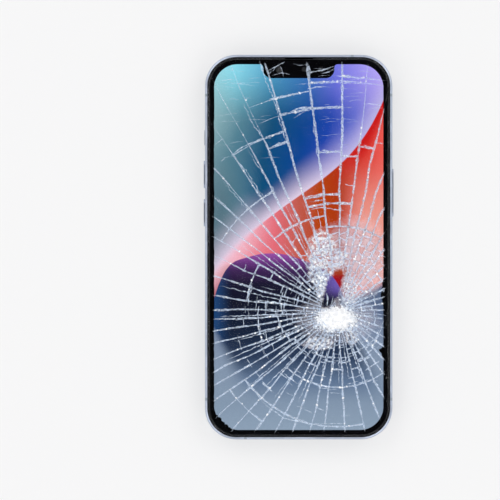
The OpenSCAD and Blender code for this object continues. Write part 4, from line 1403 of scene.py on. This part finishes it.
# Short bright strokes between the long cracks
STROKES = (
    (((-11.2, 56.5), (-6.5, 56.9), (-0.8, 58.7)), 0.24),
    (((-3.3, 51.5), (0.2, 53.0), (4.7, 53.2), (7.7, 52.5)), 0.3),
    (((-1.8, 49.1), (0.0, 50.6), (2.2, 51.5)), 0.2),
    (((-25.7, 35.1), (-21.7, 38.0), (-14.2, 41.3), (-10.7, 41.5)), 0.2),
    (((-15.2, 47.0), (-9.3, 49.5), (-5.3, 50.5)), 0.11),
    (((-9.3, 38.5), (-7.6, 39.8), (-5.8, 39.8)), 0.24),
    (((7.2, 36.0), (9.7, 37.0), (13.2, 36.3)), 0.26),
    (((-12.2, 67.0), (-9.0, 68.6), (-5.3, 70.7)), 0.16),
    (((3.7, 64.9), (4.7, 66.7), (9.0, 67.4), (13.2, 68.9)), 0.28),
    (((-1.3, 62.0), (14.7, 62.7), (30.1, 62.0)), 0.13),
    (((13.1, 65.5), (22.0, 64.4), (30.6, 63.6)), 0.16),
    (((3.2, 60.2), (6.6, 60.9), (10.2, 61.0)), 0.2),
    (((24.6, 54.5), (28.0, 54.6), (31.6, 54.0)), 0.18),
    (((2.2, 19.1), (8.7, 20.3), (15.7, 19.6)), 0.22),
    (((4.2, 17.1), (6.6, 17.7), (9.2, 17.9)), 0.2),
    (((4.7, 14.4), (8.7, 15.2), (17.1, 13.9)), 0.22),
    (((24.6, 38.8), (27.0, 38.2), (29.1, 37.0)), 0.24),
    (((19.6, 34.3), (21.4, 34.9), (23.1, 34.8)), 0.22),
    (((17.4, 24.2), (19.4, 23.4), (21.8, 23.2)), 0.16),
    (((29.4, 39.8), (31.0, 39.6), (32.3, 39.4)), 0.2),
    (((-32.6, 38.4), (-30.4, 40.2), (-28.4, 41.4)), 0.12),
    (((-29.6, 32.8), (-27.2, 34.4)), 0.12),
    (((-18.2, -53.4), (-12.6, -60.2), (-5.6, -65.2), (4.0, -67.4), (18.0, -67.2)), 0.14),
    (((-14.8, 70.2), (-14.0, 67.8), (-13.3, 65.4)), 0.3),
    (((-11.5, 66.0), (-9.6, 67.4), (-7.8, 69.8)), 0.12),
    (((-10.2, 65.4), (-6.6, 66.4), (-3.4, 65.9)), 0.1),
    (((-7.4, 69.6), (-6.2, 67.0), (-5.9, 64.9)), 0.09),
    (((3.4, 70.4), (4.2, 67.6), (4.4, 64.4)), 0.22),
    (((8.4, 66.0), (11.4, 66.8), (13.6, 68.0)), 0.12),
    (((-2.0, 69.9), (0.4, 69.2), (2.8, 69.6)), 0.08),
    (((10.6, -17.4), (11.1, -19.6), (10.8, -22.4)), 0.22),
    (((13.0, -18.6), (12.8, -20.8), (12.2, -22.8)), 0.16),
)


# Fans of fine cracks: start and end in degrees, pitch, where they begin, where they end, width
FANS = (
    (168, 232, 6.5, (9, 20), (24, 47), 0.16),
    (232, 292, 8.0, (8, 18), (20, 42), 0.15),
    (292, 350, 6.5, (7, 12), (14, 22), 0.11),
    (350, 400, 3.5, (5, 9), (12, 17), 0.1),
    (100, 168, 6.0, (12, 26), (28, 52), 0.08),
)
# Faint streaks: the left, right, low and high end of their field, how many, width
STREAKS = (
    (-32, -14, 56, 69, 16, 0.05),
    (8, 31.5, 38, 68, 26, 0.05),
    (-30, -8, 28, 54, 8, 0.045),
)


# Patches of crushed glass: piece, middle, reach, the share of the reach that is fully
# covered, crumbs to the square metre, smallest, largest, rise, depth under the glass's top
CRUMBS = (
    ("crushed_heap", HEAP, HEAP_REACH * 1.4, 0.5, 17e6, 0.25, 1.0, 0.2, 0.45),
    ("crushed_spill", HEAP, (11.5, 9.0), 0.1, 3.6e6, 0.12, 0.6, 0.0, 0.2),
    ("shattered_net", NET, NET_REACH * 1.05, 0.3, 0.07e6, 0.3, 1.3, 0.0, 0.2),
    ("shattered_clump", (9.6, -9.0), (5.8, 14.5), 0.4, 0.45e6, 0.4, 1.5, 0.0, 0.21),
)


def around_impact(reach, angle):
    """The place at a distance from the struck point, in a direction."""
    return (IMPACT.x + reach * math.cos(angle), IMPACT.y + reach * math.sin(angle))


def fan_cracks(rng):
    """Fine cracks running out from the struck point between the parted ones."""
    lines = []
    for start, end, pitch, first, last, width in FANS:
        angle = start
        while angle < end:
            turn = math.radians(angle + rng.uniform(-0.4, 0.4) * pitch)
            inner, outer = rng.uniform(*first), rng.uniform(*last)
            bend = rng.uniform(-0.03, 0.03)
            parts = [k / 4 for k in range(5)]
            line = [around_impact(inner + (outer - inner) * k, turn + bend * k) for k in parts]
            if all(is_lit(x, y) for x, y in line):
                lines.append((line, width))
            angle += pitch
    return lines


def cross_cracks(rng):
    """Short arcs that step across between neighbouring fine cracks."""
    lines = []
    for _ in range(120):
        angle = rng.uniform(150, 345)
        reach = 7 + 34 * rng.random() ** 1.3
        turn = math.radians(angle)
        sweep = rng.uniform(1.2, 3.4) / reach
        line = [
            around_impact(reach + rng.uniform(-0.25, 0.25), turn + sweep * k) for k in (-1, 0, 1)
        ]
        if all(is_lit(x, y) for x, y in line):
            lines.append((line, rng.uniform(0.07, 0.2)))
    return lines


def faint_streaks(rng):
    """Faint level streaks in the glass near its top corners."""
    lines = []
    for left, right, low, high, count, width in STREAKS:
        for _ in range(count):
            x, y = rng.uniform(left, right), rng.uniform(low, high)
            half, tilt = rng.uniform(1.2, 4.5), rng.uniform(-0.12, 0.16)
            ends = [(x - half, y - half * tilt), (x, y + 0.2), (x + half, y + half * tilt)]
            if all(is_lit(*end) for end in ends):
                lines.append((ends, width * rng.uniform(0.6, 1.5)))
    return lines


# --------------------------------------------------------------- properties


class GlassSettings(PropertyGroup):
    """How the cover glass is broken."""

    crack: FloatProperty(
        name="Crack Face Width", description="Width of the torn white face beside a crack",
        default=0.26 * MM, min=0.05 * MM, max=0.5 * MM, unit="LENGTH", precision=5,
    )
    split: FloatProperty(
        name="Crumb Face Width", description="Width of the torn face between small pieces",
        default=0.18 * MM, min=0.03 * MM, max=0.4 * MM, unit="LENGTH", precision=5,
    )
    rim: FloatProperty(
        name="Outer Edge", description="Width of the rounded outer edge of the glass",
        default=0.18 * MM, min=0.05 * MM, max=0.4 * MM, unit="LENGTH", precision=5,
    )
    tint: FloatVectorProperty(
        name="Glass Tint", description="Colour of the clear glass",
        default=(0.985, 0.993, 1.0), size=3, min=0, max=1, subtype="COLOR",
    )
    # The torn colour also colours the painted glow of the torn faces
    torn: FloatVectorProperty(
        name="Torn Faces", description="Colour of freshly broken glass faces",
        default=(0.76, 0.86, 1.0), size=3, min=0, max=1, subtype="COLOR",
    )
    seed: IntProperty(
        name="Break Seed", description="Changes the smallest breaks", default=26, min=0,
    )


class FinishSettings(PropertyGroup):
    """The phone's colours."""

    metal: FloatVectorProperty(
        name="Side Metal", description="Colour of the anodised frame and buttons",
        default=paint(179, 188, 205)[:3], size=3, min=0, max=1, subtype="COLOR",
    )
    rear: FloatVectorProperty(
        name="Rear Glass", description="Colour of the painted rear glass",
        default=paint(160, 178, 200)[:3], size=3, min=0, max=1, subtype="COLOR",
    )
    picture: FloatProperty(
        name="Display Brightness", description="How brightly the display shines",
        default=1.06, min=0.0, max=3.0, subtype="FACTOR",
    )


class StageSettings(PropertyGroup):
    """The camera, the lamps and the floor."""

    distance: FloatProperty(
        name="Camera Height", description="Height of the camera over the display",
        default=0.79375, min=0.3, max=3.0, unit="LENGTH",
    )
    focal: FloatProperty(
        name="Focal Length", description="Focal length of the camera",
        default=150.0, min=50, max=300, unit="CAMERA",
    )
    side_light: FloatProperty(
        name="Sun Strength", description="Strength of each of the four soft suns",
        default=0.5, min=0.0, max=3.0,
    )
    sky: FloatProperty(
        name="Sky Strength", description="Strength of the pale surroundings",
        default=0.72, min=0.0, max=2.0,
    )
    ground: FloatVectorProperty(
        name="Floor", description="Colour of the floor",
        default=paint(242, 242, 242)[:3], size=3, min=0, max=1, subtype="COLOR",
    )


SETTINGS = {
    "smashed_glass": GlassSettings,
    "smashed_finish": FinishSettings,
    "smashed_stage": StageSettings,
}


def divide_finely(bm):
    """Cuts a single face into a fine grid, so that crumbs can lie denser in its middle."""
    bmesh.ops.subdivide_edges(bm, edges=bm.edges, cuts=40, use_grid_fill=True)


def draw_blades(name, points, edges, half_widths, thickness, material):
    """Cracks inside the glass: flat blades along lines, all measures in millimetres."""
    obj = mesh_piece(name, points, [], [], edges=edges)
    attribute = obj.data.attributes.new("half_width", "FLOAT", "POINT")
    attribute.data.foreach_set("value", [half * MM for half in half_widths])
    grow(obj, "Hairline Blades", thickness=thickness, material=material)
    settle(obj, "phone", "broken_glass")


# ---------------------------------------------------------------- operators


class PHONE_OT_shards(Operator):
    """Break the cover glass into its shards, and the struck part into crumbs"""

    bl_idname = "phone.shards"
    bl_label = "Break Cover Glass"

    def execute(self, context):
        glass = context.scene.smashed_glass
        widths = {kind: getattr(glass, kind) / MM for kind in ("crack", "split", "rim")}
        rng = random.Random(glass.seed)
        points, faces, slots = [], [], []
        cells = shard_outlines()
        if len(cells) < 100:
            raise RuntimeError(f"the cover glass gave only {len(cells)} shards")
        for cell in cells:
            for piece in break_up(cell, rng):
                shard_solid(piece, rng, widths, points, faces, slots)
        materials = [clear_glass(shade(glass.tint)), broken_material("torn_glass", glass)]
        obj = mesh_piece("cover_shards", points, faces, materials, slots)
        settle(obj, "phone", "broken_glass", "cover_glass")
        return {"FINISHED"}


class PHONE_OT_hairlines(Operator):
    """Draw the fine cracks that run inside the glass"""

    bl_idname = "phone.hairlines"
    bl_label = "Add Hairline Cracks"

    def execute(self, context):
        glass = context.scene.smashed_glass
        rng = random.Random(glass.seed + 1)
        kinds = (
            (FINE_CRACKS, 0.2), (STROKES, 0.06), (fan_cracks(rng), 0.12),
            (cross_cracks(rng), 0.07), (faint_streaks(rng), 0.04),
        )
        lines = [(line, half, wobble) for kind, wobble in kinds for line, half in kind]
        points, edges, widths = [], [], []
        for i, (line, half_width, wobble) in enumerate(lines):
            level = GLASS_TOP - 0.17 - 0.045 * (i % 4)
            drawn, half_widths = polyline(line, half_width, rng, wobble)
            start = len(points)
            points += [(x, y, level) for x, y in drawn]
            edges += [(start + k, start + k + 1) for k in range(len(drawn) - 1)]
            widths += half_widths
        torn = broken_material("torn_glass", glass)
        draw_blades("hairline_cracks", points, edges, widths, 0.3, torn)
        return {"FINISHED"}


class PHONE_OT_veils(Operator):
    """Add the slanting fracture faces that spread out under the larger shards' edges"""

    bl_idname = "phone.veils"
    bl_label = "Add Slanting Fractures"

    def execute(self, context):
        points, edges, widths = [], [], []
        for number, (outline, kinds) in enumerate(shard_outlines()):
            if middle_of(outline)[1] < VEILED_AREA:
                continue
            level = GLASS_BASE + 0.1 + 0.045 * (number % 7)
            fine, tags = fine_edges(outline, kinds, 1.1)
            last = None
            for (x, y), kind in zip(fine + fine[:1], tags + tags[:1]):
                if kind != "crack" or not is_lit(x, y) or gap_place((x, y)) < GAP_MARGIN:
                    last = None
                    continue
                wide = (0.2 + 0.25 * smooth_step(-8, 14, y)) * quiet(x, y)
                wide *= 0.85 + 1.1 * lumpy(x, y, 0.5, 21.0)
                points.append((x, y, level))
                widths.append(max(wide, 0.03))
                if last is not None:
                    edges.append((last, len(points) - 1))
                last = len(points) - 1
        veil = broken_material("veiled_glass", context.scene.smashed_glass)
        draw_blades("slanting_fractures", points, edges, widths, 0.1, veil)
        return {"FINISHED"}


class PHONE_OT_chips(Operator):
    """Scatter small chips along the open cracks"""

    bl_idname = "phone.chips"
    bl_label = "Add Chips Along Cracks"

    def execute(self, context):
        glass = context.scene.smashed_glass
        points, edges = [], []
        for outline, kinds in shard_outlines():
            for a, b, kind in zip(outline, outline[1:] + outline[:1], kinds):
                clear = gap_place(a) < GAP_MARGIN or gap_place(b) < GAP_MARGIN
                if kind == "crack" and a < b and is_lit(*a) and is_lit(*b) and not clear:
                    edges.append((len(points), len(points) + 1))
                    points += [(*a, GLASS_TOP - 0.075), (*b, GLASS_TOP - 0.075)]
        obj = mesh_piece("crack_chips", points, [], [], edges=edges)
        grow(
            obj, "Chips Along Cracks", spacing=0.5 * MM, kept=0.14, smallest=0.14, largest=0.85,
            seed=glass.seed, material=broken_material("crushed_glass", glass),
        )
        settle(obj, "phone", "broken_glass")
        return {"FINISHED"}


class PHONE_OT_crumbs(Operator):
    """Heap crushed glass where the blow fell and spread it through the shattered net"""

    bl_idname = "phone.crumbs"
    bl_label = "Add Crushed Glass"

    def execute(self, context):
        glass = context.scene.smashed_glass
        crumbs = broken_material("crushed_glass", glass)
        way = Vector((math.cos(GAP_TURN), math.sin(GAP_TURN)))
        for i, (name, at, reach, solid, density, small, large, rise, down) in enumerate(CRUMBS):
            level = GLASS_TOP - down
            corners = [
                (at[0] + sx * reach[0] * 1.3, at[1] + sy * reach[1] * 1.3, level)
                for sx, sy in ((-1, -1), (1, -1), (1, 1), (-1, 1))
            ]
            corners = [(min(x, LIT_X - 0.4), y, z) for x, y, z in corners]
            obj = mesh_piece(name, corners, [(0, 1, 2, 3)], [])
            edit_mesh(obj.data, divide_finely)
            grow(
                obj, "Crushed Glass", centre=(at[0] * MM, at[1] * MM, level * MM),
                reach=(reach[0] * MM, reach[1] * MM, 1.0), solid_part=solid, density=density,
                smallest=small, largest=large, rise=rise * MM, seed=glass.seed + i,
                clear_centre=(GAP.x * MM, GAP.y * MM, level * MM),
                clear_long_way=(way.x / GAP_REACH.x / MM, way.y / GAP_REACH.x / MM, 0.0),
                clear_short_way=(-way.y / GAP_REACH.y / MM, way.x / GAP_REACH.y / MM, 0.0),
                material=crumbs,
            )
            settle(obj, "phone", "broken_glass")
        return {"FINISHED"}


class PHONE_OT_film(Operator):
    """Lay the adhesive film between the glass and the display"""

    bl_idname = "phone.film"
    bl_label = "Add Clouded Film"

    def execute(self, context):
        bm = bmesh.new()
        bm.from_mesh(NODES["adhesive_film"].data)
        bmesh.ops.remove_doubles(bm, verts=bm.verts, dist=1e-6)
        clearance = 0.015 * MM
        middle = (FILM_LOW.z + FILM_HIGH.z) / 2 * MM
        for vert in bm.verts:
            vert.co.z += clearance if vert.co.z < middle else -clearance
        mesh = bpy.data.meshes.new("screen_film")
        bm.to_mesh(mesh)
        bm.free()
        mesh.materials.clear()
        mesh.materials.append(film_surface())
        obj = bpy.data.objects.new("screen_film", mesh)
        context.scene.collection.objects.link(obj)
        settle(obj, "phone", "clear_film", "adhesive_film")
        return {"FINISHED"}


class PHONE_OT_border(Operator):
    """Print the black border on the underside of the glass"""

    bl_idname = "phone.border"
    bl_label = "Print Black Border"

    def execute(self, context):
        ink = surface_finish(
            "border_ink", paint(3, 3, 5), paint(7, 7, 10), 0.5, grain=0.2, depth=0.001,
            scratches=0.0, dust=0.0, specular=0.0,
        )
        play = 0.12
        edge = rounded_outline(GLASS_HIGH.x - play, GLASS_HIGH.y - play, GLASS_CORNER - play)
        openings = {"front_camera": 1.35, "infrared_camera": 1.1, "dot_projector": 0.9}
        eyes = []
        for node, radius in openings.items():
            low, high = (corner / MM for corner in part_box(node))
            eyes.append(round_corner((low + high) / 2, radius, 0, 345, 23))
        top = GLASS_LOW.z - 0.001
        obj = flat_ring("border_print", [edge, lit_outline()] + eyes, top - 0.01, top, ink)
        settle(obj, "phone", "display")
        return {"FINISHED"}


def notch_corner(side):
    """What the display fills at one lower corner of its notch: side is 1 or -1."""
    tuck, n = 0.25, NOTCH_CORNER
    outline = round_corner((NOTCH_X - n, NOTCH_Y + n), n - tuck, 0, -90, 10)
    foot = NOTCH_Y - tuck
    outline += [(NOTCH_X - n, foot), (NOTCH_X + tuck, foot), (NOTCH_X + tuck, NOTCH_Y + n)]
    return [(side * x, y) for x, y in outline[::-side]]


class PHONE_OT_display(Operator):
    """Light the display with its plain fields of colour"""

    bl_idname = "phone.display"
    bl_label = "Light Display"

    def execute(self, context):
        picture = lit_picture(context.scene.smashed_finish.picture)
        set_finish("display_panel", picture)
        top = PANEL_TOP - 0.004
        for name, side in (("notch_corner_left", -1), ("notch_corner_right", 1)):
            obj = flat_ring(name, [notch_corner(side)], top - 0.3, top, picture)
            settle(obj, "phone", "display")
        return {"FINISHED"}


class PHONE_OT_finishes(Operator):
    """Give the housing, the buttons, the cameras and the inner pieces their finishes"""

    bl_idname = "phone.finishes"
    bl_label = "Finish Housing And Inner Pieces"

    def execute(self, context):
        dressed_apart = ("cover_glass", "adhesive_film", "display_panel")
        slots = {name: slot for name, slot in NODE_SLOTS.items() if name not in dressed_apart}
        unfinished = [name for name, slot in slots.items() if slot not in FINISHES]
        if unfinished:
            raise RuntimeError(f"these nodes have no finish: {unfinished}")
        settings = context.scene.smashed_finish
        finishes = {slot: finish_material(slot, settings) for slot in FINISHES}
        for name, slot in slots.items():
            set_finish(name, finishes[slot])
        return {"FINISHED"}


class PHONE_OT_port(Operator):
    """Set the rows of contacts in the charging port"""

    bl_idname = "phone.port"
    bl_label = "Add Port Contacts"

    def execute(self, context):
        gold = bpy.data.materials.get("gold_contact")
        gold = gold or finish_material("contact_gold", context.scene.smashed_finish)
        middle = (PLUG_LOW + PLUG_HIGH) / 2
        count, pitch, height = 8, 0.8, 1.27
        left = middle.x - pitch * (count - 1) / 2
        for name, side in (("upper_contacts", 1), ("lower_contacts", -1)):
            obj = mesh_piece(name, [(0, 0, 0)], [], [])
            start = (left * MM, (PLUG_LOW.y + 2.4) * MM, (middle.z + side * height) * MM)
            grow(
                obj, "Row Of Pads", count=count, pitch=(pitch * MM, 0.0, 0.0), start=start,
                pad_size=(0.42 * MM, 2.6 * MM, 0.16 * MM), material=gold,
            )
            settle(obj, "phone", "contact_gold")
        return {"FINISHED"}


# Where the camera stands over the phone, in metres, and the colour behind it
CAMERA_PLACE = (-0.01858, -0.0011)
BACKGROUND = paint(246, 246, 246)


class PHONE_OT_stage(Operator):
    """Set up the camera, the soft lamps, the pale floor and the surroundings"""

    bl_idname = "phone.stage"
    bl_label = "Set Stage"

    def execute(self, context):
        stage = context.scene.smashed_stage
        scene = context.scene
        scene.view_settings.view_transform = "Standard"

        camera = bpy.data.cameras.new("Camera")
        camera.lens = stage.focal
        camera.clip_end = 10
        eye = bpy.data.objects.new("Camera", camera)
        eye.location = (*CAMERA_PLACE, stage.distance + GLASS_TOP * MM)
        scene.collection.objects.link(eye)
        scene.camera = eye

        for turn in (35, 125, 215, 305):
            lamp = bpy.data.lights.new(f"Soft Sun {turn}", "SUN")
            lamp.energy = stage.side_light
            lamp.angle = math.radians(40)
            obj = bpy.data.objects.new(lamp.name, lamp)
            obj.rotation_euler = (math.radians(42), 0, math.radians(turn))
            scene.collection.objects.link(obj)

        self.floor(scene, stage)
        self.surroundings(scene, stage)
        return {"FINISHED"}

    def floor(self, scene, stage):
        """A wide plain floor that can't be seen from below."""
        material, tree, surface = new_material("pale_floor")
        place = millimetres(tree)
        clouds = cloud(tree, place, 40.0)
        inputs = {
            "Base Color": blend_colours(tree, clouds, shade(stage.ground), paint(241, 241, 242)),
            "Roughness": 0.8,
            "Specular IOR Level": 0.1,
            "Normal": raised(tree, cloud(tree, place, 0.8), 0.2, 0.02),
        }
        card = add(tree, "ShaderNodeBsdfPrincipled", inputs).outputs[0]
        pale = add(tree, "ShaderNodeEmission", {"Color": BACKGROUND}).outputs[0]
        path = add(tree, "ShaderNodeLightPath").outputs
        seen = calc(tree, "MAXIMUM", path["Is Camera Ray"], path["Is Transmission Ray"])
        lifted = calc(tree, "MULTIPLY", seen, 0.6)
        card = add(tree, "ShaderNodeMixShader", {0: lifted, 1: card, 2: pale}).outputs[0]
        see_through = add(tree, "ShaderNodeBsdfTransparent").outputs[0]
        behind = add(tree, "ShaderNodeNewGeometry").outputs["Backfacing"]
        mixed = add(tree, "ShaderNodeMixShader", {0: behind, 1: card, 2: see_through}).outputs[0]
        tree.links.new(mixed, surface)
        size = 2500
        corners = [(-size, -size, 0), (size, -size, 0), (size, size, 0), (-size, size, 0)]
        mesh_piece("floor", corners, [(0, 1, 2, 3)], [material])

    def surroundings(self, scene, stage):
        """Pale surroundings with a dark patch straight above, so the glass stays dark."""
        world = bpy.data.worlds.new("Studio")
        scene.world = world
        world.use_nodes = True
        tree = world.node_tree
        tree.nodes.clear()
        ray = add(tree, "ShaderNodeTexCoord").outputs["Generated"]
        up = split(tree, ray)[2]
        greys = (
            (0.0, 0.9), (0.49, 0.92), (0.56, 0.95), (0.7, 1.05), (0.86, 1.1), (0.945, 0.7),
            (0.972, 0.04), (1.0, 0.02),
        )
        stops = [(at, (grey, grey, grey * 1.01, 1)) for at, grey in greys]
        tone = colour_ramp(tree, fit_range(tree, up, -1.0, 1.0), stops)
        shine = add(tree, "ShaderNodeBackground", {"Color": tone, "Strength": stage.sky}).outputs[0]
        seen = add(tree, "ShaderNodeBackground", {"Color": BACKGROUND, "Strength": 1.0})
        path = add(tree, "ShaderNodeLightPath").outputs["Is Camera Ray"]
        mixed = add(tree, "ShaderNodeMixShader", {0: path, 1: shine, 2: seen.outputs[0]}).outputs[0]
        output = add(tree, "ShaderNodeOutputWorld", {"Surface": mixed})
        output.is_active_output = True


STEPS = (
    PHONE_OT_shards,
    PHONE_OT_hairlines,
    PHONE_OT_veils,
    PHONE_OT_chips,
    PHONE_OT_crumbs,
    PHONE_OT_film,
    PHONE_OT_border,
    PHONE_OT_display,
    PHONE_OT_finishes,
    PHONE_OT_port,
    PHONE_OT_stage,
)


class PHONE_PT_sidebar(Panel):
    """The steps and settings, in the 3D view's sidebar"""

    bl_label = "Smashed Phone"
    bl_idname = "PHONE_PT_sidebar"
    bl_space_type = "VIEW_3D"
    bl_region_type = "UI"
    bl_category = "Smashed Phone"

    def draw(self, context):
        for setting in SETTINGS:
            group = getattr(context.scene, setting)
            box = self.layout.box()
            for name in group.bl_rna.properties.keys():
                if name not in ("rna_type", "name"):
                    box.prop(group, name)
        for step in STEPS:
            self.layout.operator(step.bl_idname)


CLASSES = (*SETTINGS.values(), *STEPS, PHONE_PT_sidebar)


def register():
    for kind in CLASSES:
        bpy.utils.register_class(kind)
    for name, kind in SETTINGS.items():
        setattr(bpy.types.Scene, name, PointerProperty(type=kind))


def unregister():
    for name in SETTINGS:
        delattr(bpy.types.Scene, name)
    for kind in reversed(CLASSES):
        bpy.utils.unregister_class(kind)


def main():
    """Runs every step in order."""
    register()
    for step in STEPS:
        group, name = step.bl_idname.split(".")
        getattr(getattr(bpy.ops, group), name)()


if __name__ == "__main__":
    main()
